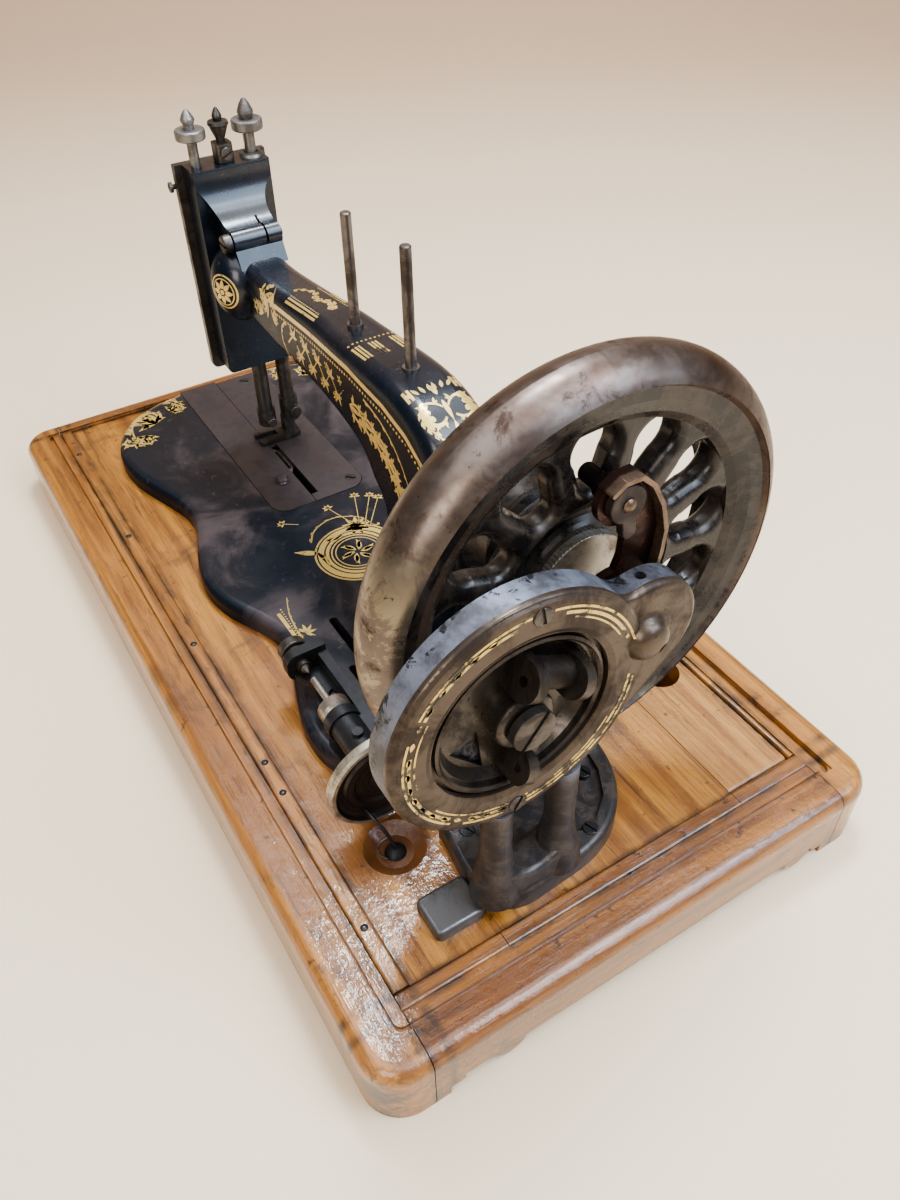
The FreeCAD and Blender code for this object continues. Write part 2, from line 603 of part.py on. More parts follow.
def nut_disc(x, y, z0, z1, r, bore):
    disc = rounded(cyl_z(z0, z1, x, y, r), 0.9, lambda e: at_z(z0)(e) or at_z(z1)(e))
    if bore:
        return disc.cut(cyl_z(z0 - 1, z1 + 1, x, y, bore))
    return disc


STUD_TOP = 214.5
STUD_R = 2.4


def tension_stud():
    return union([cyl_z(HEAD_TOP - 20, STUD_TOP, BAR_X, STUD_Y, STUD_R), acorn(BAR_X, STUD_Y, STUD_TOP - 0.1, 3.3, 6.6)])


def tension_nut():
    return nut_disc(BAR_X, STUD_Y, 208.0, 212.6, 7.0, STUD_R + RUN)


def needle_bar():
    """Round bar with a thread block, funnel cup and acorn at its top."""
    bar = cyl_z(50, HEAD_TOP + 1, BAR_X, YC, BAR_R)
    block = rounded_block(BAR_X - 4, BAR_X + 4.5, YC - 4.2, YC + 4.2, HEAD_TOP + 0.3, HEAD_TOP + 8.5, 2.0)
    cup = revolve_z([(0, 203.5), (1.8, 204), (2.2, 206), (4.4, 211.6), (4.9, 212.4), (4.7, 213.6),
                     (2.6, 213.8), (0, 213.8)], BAR_X, YC)
    tip = acorn(BAR_X, YC, 213.7, 2.3, 6.0)
    screw = slotted_screw_x(BAR_X + 4, BAR_X + 6.2, YC, HEAD_TOP + 4.4, 3.0, 25)
    return union([bar, block, cup, tip, screw])


def needle_clamp():
    collar = cyl_z(51, 60, BAR_X, YC, 5.0).cut(cyl_z(40, 70, BAR_X, YC, BAR_R))
    screw = rounded(cyl_x(BAR_X + 4.6, BAR_X + 9, YC, 55, 2.6), 0.5, at_x(BAR_X + 9))
    return collar.fuse(screw).removeSplitter()


def presser_bar():
    return cyl_z(52, HEAD_TOP - 18, BAR_X, PRESSER_Y, BAR_R)


FOOT_GAP = 0.3


def presser_foot():
    """Hinge-less foot: a socket with its thumb screw and a forked sole under the needle."""
    z0 = BED_TOP + 0.3 + FOOT_GAP
    socket = cyl_z(50, 64, BAR_X, PRESSER_Y, 5.2).cut(cyl_z(52, 70, BAR_X, PRESSER_Y, BAR_R))
    neck = box(BAR_X - 3, BAR_X + 3, PRESSER_Y - 5, PRESSER_Y + 1, z0 + 1, 52)
    sole = rounded_block(BAR_X - 7, BAR_X + 7, -3, 22, z0 + 0.5, z0 + 2.6, 2.5)
    sole = sole.cut(box(BAR_X - 2.2, BAR_X + 2.2, -5, 9, 0, 60))
    screw = rounded(cyl_x(BAR_X + 4.8, BAR_X + 10.5, PRESSER_Y, 58, 3.4), 0.6, at_x(BAR_X + 10.5))
    return union([socket, neck, sole, screw])


def presser_regulator():
    """Turned screw over the presser bar: shank, thumb disc and acorn in one piece."""
    shank = cyl_z(HEAD_TOP - 6, 208, BAR_X, PRESSER_Y, 2.7)
    return union([shank, nut_disc(BAR_X, PRESSER_Y, 207.6, 212.4, 7.4, 0),
                  acorn(BAR_X, PRESSER_Y, 212.3, 3.8, 9.0)])


def presser_washer():
    z = HEAD_TOP
    ring = revolve_z([(3.3, z), (5.8, z), (5.2, z + 1.3), (3.3, z + 1.6)], BAR_X, PRESSER_Y)
    collar = cyl_z(z - 10, z, BAR_X, PRESSER_Y, BAR_R).cut(cyl_z(z - 11, z + 1, BAR_X, PRESSER_Y, 2.7 + RUN))
    lip = cyl_z(z, z + 1, BAR_X, PRESSER_Y, 3.5).cut(cyl_z(z - 1, z + 2, BAR_X, PRESSER_Y, 2.7 + RUN))
    return union([collar, lip, ring])


def lifter_pin():
    return cyl_y(HEAD_BACK - 1.2, LIFTER_Y + 6.6, LIFTER_X, LIFTER_Z, LIFTER_PIN_R)


def lifter_lever():
    """Cam lever on the back of the head that raises the presser bar."""
    x, z, y0, y1 = LIFTER_X, LIFTER_Z, LIFTER_Y, LIFTER_Y + 6
    hub = cyl_y(y0, y1, x, z, 5.5)
    arm = box(x + 2, x + 30, y0 + 1.5, y1 - 1, z - 3, z + 3)
    grip = cyl_y(y0 + 1.5, y1 - 1, x + 31, z, 5.0)
    return union([hub, arm, grip]).cut(cyl_y(0, 60, x, z, LIFTER_PIN_R + RUN))


def takeup_stud():
    y, z = YC + 12, 150.0
    return union([cyl_x(FACE_X0 - 5.4, FACE_X0 + 4, y, z, 2.5), cyl_x(FACE_X0 - 7.0, FACE_X0 - 5.3, y, z, 4.0)])


def takeup_lever():
    """Thread take-up on the face plate, with an eyelet at its end."""
    y, z = YC + 12, 150.0
    x0, x1 = FACE_X0 - 4.9, FACE_X0 - 2.1
    end_y, end_z = YC - 16, 172.0
    hub = cyl_x(x0, x1, y, z, 6.0)
    arm = prism([V(x0, y - 2, z - 3.4), V(x0, end_y, end_z - 2), V(x0, end_y + 1.5, end_z + 2),
                 V(x0, y + 2, z + 4.2)], V(x1 - x0, 0, 0))
    eye = cyl_x(x0, x1, end_y, end_z, 4.0)
    return union([hub, arm, eye]).cut(cyl_x(x0 - 5, x1 + 5, y, z, 2.5 + RUN)).cut(
        cyl_x(x0 - 5, x1 + 5, end_y, end_z, 1.6))


# ---- balance wheel ----
WEB_BACK, WEB_FRONT = WHEEL_X - 5.0, WHEEL_X + 5.5
NUT_X0, NUT_X1 = 155.0, 158.5         # clutch nut, deep in the wheel's dish
NUT_R = 17.7


def aperture(degrees):
    """A radial pear-shaped hole through the wheel's web, narrower towards the hub."""
    outer_at, outer_r, inner_at, inner_r = APERTURE_R + 5.4, 7.9, APERTURE_R - 5.2, 4.6
    outer = cyl_x(130, 180, 0, outer_at, outer_r)
    inner = cyl_x(130, 180, 0, inner_at, inner_r)
    sides = prism([V(130, -outer_r, outer_at), V(130, -inner_r, inner_at), V(130, inner_r, inner_at),
                   V(130, outer_r, outer_at)], V(50, 0, 0))
    hole = outer.fuse(inner).fuse(sides).removeSplitter()
    hole.rotate(V(0, 0, 0), V(1, 0, 0), degrees - 90)
    hole.translate(V(0, YC, SHAFT_Z))
    return hole


def web_disc():
    """The web between hub and rim, with its round-edged apertures."""
    web = cyl_x(WEB_BACK, WEB_FRONT, YC, SHAFT_Z, RIM_R - 4)
    for k in range(APERTURES):
        web = web.cut(aperture(FIRST_APERTURE + 360.0 / APERTURES * k))
    return rounded(web, 4.0, lambda e: (at_x(WEB_BACK)(e) or at_x(WEB_FRONT)(e)) and
                   e.BoundBox.DiagonalLength < 60)


def rim():
    """Round rim whose inner front side is a shallow dark dish, stepped where the plating ends."""
    tube = Part.makeTorus(RIM_R, RIM_TUBE, V(WHEEL_X, YC, SHAFT_Z), V(1, 0, 0))
    inside = cyl_x(130, 180, YC, SHAFT_Z, RIM_R - 8.5)
    ring = revolve_x([(WHEEL_X - 7, 59.6), (WHEEL_X - 8, 66), (WHEEL_X + 10, 72), (WHEEL_X + 9.5, 66),
                      (WHEEL_X + 6.5, 61), (WHEEL_X + 5.5, 59.6)], YC, SHAFT_Z)
    face = revolve_x([(WHEEL_X + 5.5, 50), (WHEEL_X + 5.5, 59.6), (WHEEL_X + 7.4, 62.5), (WHEEL_X + 9.2, 67),
                      (WHEEL_X + 10.0, 71.5), (WHEEL_X + 11.6, 73), (WHEEL_X + 20, 73), (WHEEL_X + 20, 50)],
                     YC, SHAFT_Z)
    return tube.fuse(ring).removeSplitter().cut(inside).cut(face)


def balance_wheel():
    hub = revolve_x([(115.5, 0), (115.5, 21), (117.5, 23), (123, 19), (129, 19), (134.5, 23), (136.5, 21),
                     (140, 21), (147.5, 31), (149, 35), (NUT_X0, 35), (NUT_X0, 0)], YC, SHAFT_Z)
    dish = revolve_x([(WEB_FRONT + 1, 34.6), (158.6, 33), (157, 31), (154.6, 27.6), (153, 25), (152.6, 22.4),
                      (153.8, 21), (NUT_X0, 20), (NUT_X0, 0), (WEB_FRONT + 1, 0)], YC, SHAFT_Z)
    wheel = union([web_disc(), rim(), hub]).cut(dish)
    return wheel.cut(cyl_x(100, 180, YC, SHAFT_Z, SHAFT_R))


def wheel_nut():
    """Knurled clutch nut that locks the wheel to its shaft."""
    body = rounded(cyl_x(NUT_X0, NUT_X1, YC, SHAFT_Z, NUT_R), 0.6, at_x(NUT_X1))
    for k in range(72):
        y, z = polar(NUT_R + 0.35, 5.0 * k)
        body = body.cut(cyl_x(NUT_X0 - 1, NUT_X1 + 1, y, z, 0.55))
    return body.cut(cyl_x(NUT_X0 - 1, SHAFT_END, YC, SHAFT_Z, SHAFT_R))


# ---- crank gearing ----
def involute_gear(teeth, y, z, x0, x1, phase):
    """A spur gear with involute flanks; phase is the angle of one tooth's centre."""
    pitch_r = MODULE * teeth / 2
    base_r = pitch_r * math.cos(math.radians(20))
    radii = (pitch_r - 1.25 * MODULE, pitch_r, pitch_r + 0.92 * MODULE)

    def involute(radius):
        angle = math.acos(min(1.0, base_r / radius))
        return math.tan(angle) - angle

    half_pitch = math.pi / (2 * teeth) - BACKLASH / (2 * pitch_r)
    halves = [half_pitch + involute(pitch_r) - involute(radius) for radius in radii]
    points = []
    for k in range(teeth):
        centre = math.radians(phase) + 2 * math.pi * k / teeth
        flank = list(zip(radii, halves))
        for radius, half in flank:
            points.append(V(x0, y + radius * math.cos(centre - half), z + radius * math.sin(centre - half)))
        for radius, half in reversed(flank):
            points.append(V(x0, y + radius * math.cos(centre + half), z + radius * math.sin(centre + half)))
    return prism(points, V(x1 - x0, 0, 0))


PINION_BORE = 4.0
SLEEVE_R = 8.0
DOG_X0, DOG_X1 = 169.5, 172.3
DOG_ANGLE = FIRST_APERTURE + 3 * 360.0 / APERTURES
DOG_R = 42.0
DOG_RIB_X = 176.4         # front of the rib along the driving arm's outer edge


def pinion():
    teeth = involute_gear(PINION_TEETH, YC, SHAFT_Z, GEAR_X0, GEAR_X1,
                          LINE_ANGLE + 180 + 180.0 / PINION_TEETH)
    sleeve = cyl_x(DOG_X0, GEAR_X0 + 1, YC, SHAFT_Z, SLEEVE_R)
    return teeth.fuse(sleeve).removeSplitter().cut(cyl_x(160, 200, YC, SHAFT_Z, PINION_BORE + RUN))


def band(path, half, x0, x1):
    """A flat strip of even width that follows y, z points, with round ends."""
    pieces = []
    for (y0, z0), (y1, z1) in zip(path, path[1:]):
        length = math.hypot(y1 - y0, z1 - z0)
        ny, nz = -(z1 - z0) / length * half, (y1 - y0) / length * half
        pieces.append(prism([V(x0, y0 + ny, z0 + nz), V(x0, y1 + ny, z1 + nz),
                             V(x0, y1 - ny, z1 - nz), V(x0, y0 - ny, z0 - nz)], V(x1 - x0, 0, 0)))
        pieces.append(cyl_x(x0, x1, y1, z1, half))
    pieces.append(cyl_x(x0, x1, path[0][0], path[0][1], half))
    return union(pieces)


def dog_arm():
    """Curved driving arm with a raised outer rib; its stud drops into an aperture of the wheel."""
    y, z = polar(DOG_R, DOG_ANGLE)
    arm = band([(10, 152.5), (13.2, 162), (13.6, 171), (11, 180), (y, z)], 6.6, DOG_X0, DOG_X1)
    rib = band([(18.2, 155), (19.6, 162), (20.0, 171), (17.2, 181.5), (12.5, 190.2), (y + 3.5, z + 8.8),
                (y - 2.5, z + 8.9), (y - 6.6, z + 6.2)], 0.8, DOG_X0, DOG_RIB_X)
    end = cyl_x(DOG_X0, DOG_X1, y, z, 9.0)
    hub = cyl_x(DOG_X0, DOG_X1, YC, SHAFT_Z, 14)
    stud = rounded(cyl_x(154.5, DOG_X0 + 1, y, z, 3.2), 1.0, at_x(154.5))
    shoulder = cyl_x(163.5, DOG_X0 + 1, y, z, 4.4)
    rivet = union([cyl_x(DOG_X1 - 2, 175.9, y, z, 2.0), dome_x(175.8, y, z, 2.4, 1.2)])
    return union([arm, rib, end, hub, stud, shoulder, rivet]).cut(cyl_x(160, 200, YC, SHAFT_Z, SLEEVE_R))


def dog_finger():
    """Dark latch disc pivoted on the driving arm's end, with a short tail."""
    y, z = polar(DOG_R, DOG_ANGLE)
    x0, x1 = DOG_X1 + 0.3, 175.5
    plate = union([cyl_x(x0, x1, y, z, 6.6), band([(y, z), (y + 1.5, z - 10.5)], 2.6, x0, x1)])
    return rounded(plate, 0.5, at_x(x1)).cut(cyl_x(160, 200, y, z, 2.0 + RUN))


YOKE_TURN = -28.0         # direction of the missing handle's hinge pin, from +Y towards +Z
LUG_HOLE_R = 1.7


def hinge_disc(dy, dz, x, r, thick):
    """A disc on the crank gear whose flat sides are square to the handle's hinge pin."""
    turn = math.radians(YOKE_TURN)
    along = V(0, math.cos(turn), math.sin(turn))
    centre = V(x, GEAR_Y + dy, GEAR_Z + dz)
    return Part.makeCylinder(r, thick, centre - along * (thick / 2), along)


def hinge_ear(dy, dz, x, r, thick):
    """A holed hinge disc with its foot down to the gear's web."""
    foot = box(GEAR_X0 + 1.6, x, -thick / 2, thick / 2, -r, r)
    foot.rotate(V(0, 0, 0), V(1, 0, 0), YOKE_TURN)
    foot.translate(V(0, GEAR_Y + dy, GEAR_Z + dz))
    return hinge_disc(dy, dz, x, r, thick).fuse(foot).cut(hinge_disc(dy, dz, x, LUG_HOLE_R, thick + 2))


def crank_gear():
    """The big crank gear: toothed rim, dished web with an opening, hub, handle yoke and lower lug."""
    teeth = involute_gear(GEAR_TEETH, GEAR_Y, GEAR_Z, GEAR_X0, GEAR_X1, LINE_ANGLE)
    dish = revolve_x([(GEAR_X0 + 1.6, 25), (GEAR_X0 + 1.6, 10), (GEAR_X1 + 1, 10), (GEAR_X1 + 1, 28)],
                     GEAR_Y, GEAR_Z)
    lip = revolve_x([(GEAR_X1 - 1.2, 30.2), (GEAR_X1 - 1.2, 28.4), (GEAR_X1 + 1.8, 28.4), (GEAR_X1 + 2.6, 29.2),
                     (GEAR_X1 + 2.2, 30.2)], GEAR_Y, GEAR_Z)
    hub = rounded(cyl_x(GEAR_X0, 192.4, GEAR_Y, GEAR_Z, 10.5), 2.0, at_x(192.4))
    window = prism([V(170, *polar(13, 200, GEAR_Y, GEAR_Z)), V(170, *polar(24, 203, GEAR_Y, GEAR_Z)),
                    V(170, *polar(25, 246, GEAR_Y, GEAR_Z))], V(30, 0, 0))
    hook = band([(GEAR_Y + 1, GEAR_Z - 6), (GEAR_Y + 3.5, GEAR_Z - 13), (GEAR_Y - 1, GEAR_Z - 20.5)], 3.0,
                GEAR_X0 + 1.6, 191.5)
    yoke = [hinge_ear(-0.5, 18.5, 192.2, 6.5, 4.0), hinge_ear(17.0, 9.5, 192.2, 6.5, 4.0)]
    bridge = hinge_disc(8.25, 14.0, 188.6, 5.2, 16.5)
    lower = hinge_ear(-1.0, -20.5, 192.2, 5.6, 4.4)
    body = union([minus(teeth, [dish, window]), lip, hub, hook, bridge, lower] + yoke)
    return body.cut(cyl_x(160, 200, GEAR_Y, GEAR_Z, 5.0 + RUN))


def crank_axle():
    """Stud of the crank gear with a broad slotted head."""
    shank = cyl_x(CASE_X0, 194, GEAR_Y, GEAR_Z, 5.0)
    return union([shank, slotted_screw_x(193.2, 196.4, GEAR_Y, GEAR_Z, 7.6, 55, 1.6)])


def pinion_axle():
    """Plain stud of the pinion, hidden in the cast bump of the cover."""
    return cyl_x(DOG_X0, BOSS_X1 - 0.5, YC, SHAFT_Z, PINION_BORE)


COVER_SCREWS = ((40.5, 84.0), (40.5, 268.0))     # radius and angle about the gear


def pear(x0, x1, r_case, r_boss):
    """Drum and boss in one outline: straight below, with a rounded hollow between them above."""
    dy, dz = YC - GEAR_Y, SHAFT_Z - GEAR_Z
    slope = math.degrees(math.atan2(dz, dy))
    lean = math.degrees(math.acos((r_case - r_boss) / CENTRES))
    drum, boss = V(x0, GEAR_Y, GEAR_Z), V(x0, YC, SHAFT_Z)
    below = [drum, V(x0, *polar(r_case, slope - lean, GEAR_Y, GEAR_Z)), V(x0, *polar(r_boss, slope - lean)), boss]
    far, near = r_case + VALLEY_R, r_boss + VALLEY_R
    turn = math.degrees(math.acos((far * far + CENTRES * CENTRES - near * near) / (2 * far * CENTRES)))
    valley = polar(far, slope + turn, GEAR_Y, GEAR_Z)
    above = prism([drum, V(x0, *valley), boss], V(x1 - x0, 0, 0)).cut(cyl_x(x0 - 1, x1 + 1, *valley, VALLEY_R))
    return union([cyl_x(x0, x1, GEAR_Y, GEAR_Z, r_case), cyl_x(x0, x1, YC, SHAFT_Z, r_boss),
                  prism(below, V(x1 - x0, 0, 0)), above])


def boss_cap(r_boss, x1):
    """The part of the pear outline that lies outside the drum, in front of the boss's seam."""
    return pear(BOSS_SEAM, x1, CASE_R, r_boss).cut(cyl_x(BOSS_SEAM - 1, CASE_X1, GEAR_Y, GEAR_Z, CASE_R))


def cast_bump():
    """The smooth bump over the pinion's stud, with a small grub hole on its side."""
    points = [(-0.5, 11.5), (0.05, 10.0), (0.8, 8.6), (2.0, 7.6), (3.6, 6.5), (4.9, 4.6), (5.5, 2.2), (5.6, 0)]
    curve = Part.BSplineCurve()
    curve.interpolate([V(BOSS_X1 + x, YC, SHAFT_Z + r) for x, r in points])
    first, last = V(BOSS_X1 + points[0][0], YC, SHAFT_Z), V(BOSS_X1 + points[-1][0], YC, SHAFT_Z)
    wire = Part.Wire([curve.toShape(), Part.makeLine(last, first),
                      Part.makeLine(first, first + V(0, 0, points[0][1]))])
    bump = Part.Face(wire).revolve(first, V(1, 0, 0), 360)
    return bump.cut(cyl_x(BOSS_X1 + 2.2, BOSS_X1 + 9, YC + 3.4, SHAFT_Z - 2.8, 1.9))


def flange():
    """The foot plate of the crank bracket, round at its outer end."""
    outline = [V(150.5, -49, BOARD_TOP), V(166, -51, BOARD_TOP), V(182, -50.5, BOARD_TOP),
               V(191, -44, BOARD_TOP), V(193, -25, BOARD_TOP), V(190.5, -3, BOARD_TOP),
               V(182, 13, BOARD_TOP), V(168, 23, BOARD_TOP), V(150.5, 27, BOARD_TOP)]
    curve = Part.BSplineCurve()
    curve.interpolate(outline)
    wire = Part.Wire([curve.toShape(), Part.makeLine(outline[-1], outline[0])])
    plate = Part.Face(wire).extrude(V(0, 0, BED_TOP - BOARD_TOP - 1))
    raised = plate.copy()
    raised.translate(V(0, 0, 1.0))
    inner = [V(152, -41, BED_TOP - 2), V(172, -40, BED_TOP - 2), V(176, -10, BED_TOP - 2),
             V(184, -7, BED_TOP - 2), V(182, 3, BED_TOP - 2), V(175, 12, BED_TOP - 2),
             V(164, 18, BED_TOP - 2), V(152, 20, BED_TOP - 2)]
    recess = rounded(prism(inner, V(0, 0, 4)), 3.0, upright)
    return rounded(plate.fuse(raised).removeSplitter(), 2.4, at_z(BED_TOP)).cut(recess)


BRACKET_SCREWS = ((162.0, 12.0), (160.0, -42.0), (184.5, -2.0))


def gear_case():
    """Crank bracket casting: foot, saddle, two columns, drum and pinion boss."""
    shell = pear(CASE_X0, CASE_X1, CASE_R, BOSS_R)
    feet = [cyl_z(BED_TOP - 3, 94.5, COLUMN_X, y, COLUMN_R) for y in COLUMN_YS]
    collars = [revolve_z([(0, BED_TOP - 2), (9.6, BED_TOP - 2), (8.2, BED_TOP + 9), (6.6, BED_TOP + 16),
                          (5.6, BED_TOP + 24), (0, BED_TOP + 24)], COLUMN_X, y) for y in COLUMN_YS]
    saddle = box(COLUMN_X - 7.4, COLUMN_X + 7.4, COLUMN_YS[0], COLUMN_YS[1], BED_TOP - 2, BED_TOP + 13)
    scoop = cyl_x(170, 200, (COLUMN_YS[0] + COLUMN_YS[1]) / 2, BED_TOP + 24, 15)
    saddle = rounded(saddle.cut(scoop), 2.5, lambda e: e.BoundBox.ZMax > BED_TOP + 8 and e.BoundBox.YLength > 5)
    body = union([shell, flange(), saddle] + feet + collars)
    pocket = cyl_x(CASE_X0 + 2, CASE_X1 + 1, GEAR_Y, GEAR_Z, 38.2)
    pinion_room = cyl_x(CASE_X0 + 2, CASE_X1, YC, SHAFT_Z, PINION_ROOM_R)
    cuts = [pocket, pinion_room, cyl_x(170, 200, GEAR_Y, GEAR_Z, 5.0),
            cyl_x(170, CASE_X0 + 3, YC, SHAFT_Z, SLEEVE_R + RUN),
            cyl_x(CASE_X0, 200, YC, SHAFT_Z, PINION_BORE),
            cyl_z(SHAFT_Z + 12, 190, (CASE_X0 + BOSS_SEAM) / 2, YC, 1.8)]
    cuts += [cyl_z(BOARD_TOP - 1, 60, x, y, 3.0) for x, y in BRACKET_SCREWS]
    cuts.append(pear(CASE_X1, COVER_X1 + 2, CASE_R + 0.3, BOSS_R))
    cuts.append(boss_cap(BOSS_R + 0.4, COVER_X1 + 2))
    return minus(body, cuts)


def case_cover():
    """Bronze-brown front plate: raised ring round the dished gear, and a soft-edged cap on the boss."""
    disc = rounded(cyl_x(CASE_X1, COVER_X1 - 0.9, GEAR_Y, GEAR_Z, CASE_R), 1.2, at_x(COVER_X1 - 0.9))
    soft = rounded(pear(BOSS_SEAM, BOSS_X1, CASE_R, BOSS_R), 2.2, at_x(BOSS_X1))
    cap = soft.cut(cyl_x(BOSS_SEAM - 1, CASE_X1, GEAR_Y, GEAR_Z, CASE_R))
    cap = cap.cut(cyl_x(BOSS_SEAM - 1, CASE_X1, YC, SHAFT_Z, PINION_ROOM_R))
    opening = cyl_x(CASE_X1 - 1, COVER_X1 + 1, GEAR_Y, GEAR_Z, DISH_R + 0.8)
    ring = revolve_x([(CASE_X1, DISH_R + 0.8), (CASE_X1, CASE_R - 0.8), (COVER_X1 - 0.9, CASE_R - 0.8),
                      (COVER_X1 - 0.3, CASE_R - 1.6), (COVER_X1, CASE_R - 3), (COVER_X1, DISH_R + 3),
                      (COVER_X1 - 0.8, DISH_R + 1.2)], GEAR_Y, GEAR_Z)
    holes = [cyl_x(180, 200, *polar(r, a, GEAR_Y, GEAR_Z), 3.2) for r, a in COVER_SCREWS]
    holes.append(cyl_x(BOSS_SEAM - 1, BOSS_X1 - 0.5, YC, SHAFT_Z, PINION_BORE))
    plate = union([disc, cap, cast_bump()]).cut(opening)
    return minus(plate.fuse(ring).removeSplitter(), holes)


def cover_screws():
    screws = []
    for k, (r, a) in enumerate(COVER_SCREWS):
        y, z = polar(r, a, GEAR_Y, GEAR_Z)
        screws.append(slotted_screw_x(CASE_X1, COVER_X1 + 0.6, y, z, 3.2, 100 - 40 * k))
    return Part.makeCompound(screws)


def bracket_screws():
    return Part.makeCompound([slotted_screw_z(x, y, BOARD_TOP, BED_TOP + 0.6, 3.0, 20) for x, y in BRACKET_SCREWS])


def clamp_block():
    block = rounded_block(172, 189, -72.5, -51.8, BOARD_TOP, BOARD_TOP + 5.5, 2.5)
    return rounded(block, 1.5, at_z(BOARD_TOP + 5.5))


def recess_screw():
    x, y, r = RECESS
    return union([cyl_z(BOARD_TOP - 8, BOARD_TOP - 3.4, x, y, 2.5), dome_z(x, y, BOARD_TOP - 3.5, 4.4, 3.0)])


# ---- bobbin winder ----
def winder_base():
    """Foot of the winder on the bed, with two ears for its hinge pin."""
    foot = rounded_block(93, 121.5, -68, -46, BED_TOP, BED_TOP + 1.6, 3)
    ears = [box(x0, x0 + 4.5, -54.5, -46.5, BED_TOP, WIND_HINGE_Z + 3) for x0 in (93.5, 116.5)]
    return union([foot] + ears).cut(cyl_x(80, 130, WIND_HINGE_Y, WIND_HINGE_Z, 1.5))


def winder_pin():
    return cyl_x(92.5, 122, WIND_HINGE_Y, WIND_HINGE_Z, 1.5)


def winder_frame():
    """Swinging frame: bearing sleeve, side bar and the tail post with its winged plate."""
    sleeve = union([cyl_x(97.5, 124, WIND_Y, WIND_Z, 6.6), rounded(cyl_x(97.5, 103, WIND_Y, WIND_Z, 7.6), 0.8, at_x(97.5))])
    knuckle = cyl_x(98.4, 116.1, WIND_HINGE_Y, WIND_HINGE_Z, 3.2)
    web = box(99, 116, WIND_Y + 3, WIND_HINGE_Y + 2.2, WIND_HINGE_Z, WIND_Z + 3)
    bar = box(58, 112, -55.4, -51.2, WIND_Z - 5.5, WIND_Z + 3)
    post = rounded(box(58, 63, WIND_Y - 7, -51.2, WIND_Z - 8, WIND_Z + 6), 5.0,
                   lambda e: at_y(WIND_Y - 7)(e) and (at_z(WIND_Z - 8)(e) or at_z(WIND_Z + 6)(e)))
    wing = prism([V(59, -52, WIND_Z - 7), V(86, -52, WIND_Z - 7), V(78, -57, WIND_Z - 7),
                  V(84, -66, WIND_Z - 7), V(72, -62, WIND_Z - 7), V(61, -68, WIND_Z - 7)], V(0, 0, 2.4))
    lug_screw = cyl_z(WIND_Z + 5.5, WIND_Z + 8.2, 114, WIND_Y, 2.2)
    body = union([sleeve, knuckle, web, bar, post, wing, lug_screw])
    return minus(body, [cyl_x(90, 130, WIND_Y, WIND_Z, 2.6 + RUN), cyl_x(50, 66, WIND_Y, WIND_Z, 3.0 + RUN),
                        cyl_x(80, 130, WIND_HINGE_Y, WIND_HINGE_Z, 1.5 + RUN)])


def winder_spindle():
    return union([cyl_x(73.5, 97.0, WIND_Y, WIND_Z, 1.6), cyl_x(96.9, 126, WIND_Y, WIND_Z, 2.6),
                  revolve_x([(89.5, 0), (89.5, 5.0), (91, 6.8), (95, 6.8), (96.9, 5.5), (96.9, 0)],
                            WIND_Y, WIND_Z)])


def winder_wheel():
    """Friction wheel with a turned rim and a recessed face."""
    r = WIND_WHEEL_R
    body = revolve_x([(124.6, 0), (124.6, 8), (127.5, 10), (130.6, 13), (130.6, r - 2), (130, r - 0.8),
                      (130.9, r), (133.8, r), (134.8, r - 1), (134.8, r - 2.6), (133.2, r - 3.6), (132.4, 16.5),
                      (133.4, 15.5), (133.4, 12.5), (132.2, 11), (132.2, 5), (134, 4.4), (134, 0)], WIND_Y, WIND_Z)
    return body.cut(cyl_x(120, 126, WIND_Y, WIND_Z, 2.6))


def winder_tail_screw():
    """Spring centre at the winder's tail: round thumb head, shank and a point for the bobbin."""
    head = rounded(cyl_x(50.5, 55.5, WIND_Y, WIND_Z, 6.2), 0.8, lambda e: at_x(50.5)(e) or at_x(55.5)(e))
    return union([head, cyl_x(55.4, 57.6, WIND_Y, WIND_Z, 4.4), cyl_x(55.4, 66, WIND_Y, WIND_Z, 3.0),
                  revolve_x([(65.9, 0), (65.9, 2.4), (69.5, 0)], WIND_Y, WIND_Z)])


NODES = {
    "top_board": top_board, "accessory_tray": accessory_tray,
    "accessory_lid": accessory_lid, "lid_pin": lid_pin,
    "bed": bed, "bed_screws": bed_screws, "needle_plate": needle_plate,
    "needle_plate_screws": needle_plate_screws, "slide_plate": slide_plate, "shuttle_race": shuttle_race,
    "shuttle": shuttle, "shuttle_bobbin": shuttle_bobbin, "feed_dog": feed_dog,
    "arm_casting": arm_casting, "shaft_bushes": shaft_bushes, "spool_pins": spool_pins,
    "bracket_pin": bracket_pin, "face_plate": face_plate, "face_plate_screws": face_plate_screws,
    "main_shaft": main_shaft, "shaft_crank": shaft_crank, "tension_stud": tension_stud,
    "tension_nut": tension_nut, "needle_bar": needle_bar, "needle_clamp": needle_clamp,
    "presser_bar": presser_bar, "presser_foot": presser_foot, "presser_regulator": presser_regulator,
    "presser_washer": presser_washer, "lifter_pin": lifter_pin, "lifter_lever": lifter_lever,
    "takeup_stud": takeup_stud, "takeup_lever": takeup_lever,
    "balance_wheel": balance_wheel, "wheel_nut": wheel_nut,
    "pinion": pinion, "dog_arm": dog_arm, "dog_finger": dog_finger,
    "crank_gear": crank_gear, "crank_axle": crank_axle, "pinion_axle": pinion_axle,
    "gear_case": gear_case, "case_cover": case_cover, "cover_screws": cover_screws,
    "bracket_screws": bracket_screws, "clamp_block": clamp_block, "recess_screw": recess_screw,
    "winder_base": winder_base, "winder_pin": winder_pin, "winder_frame": winder_frame,
    "winder_spindle": winder_spindle, "winder_wheel": winder_wheel, "winder_tail_screw": winder_tail_screw,
}


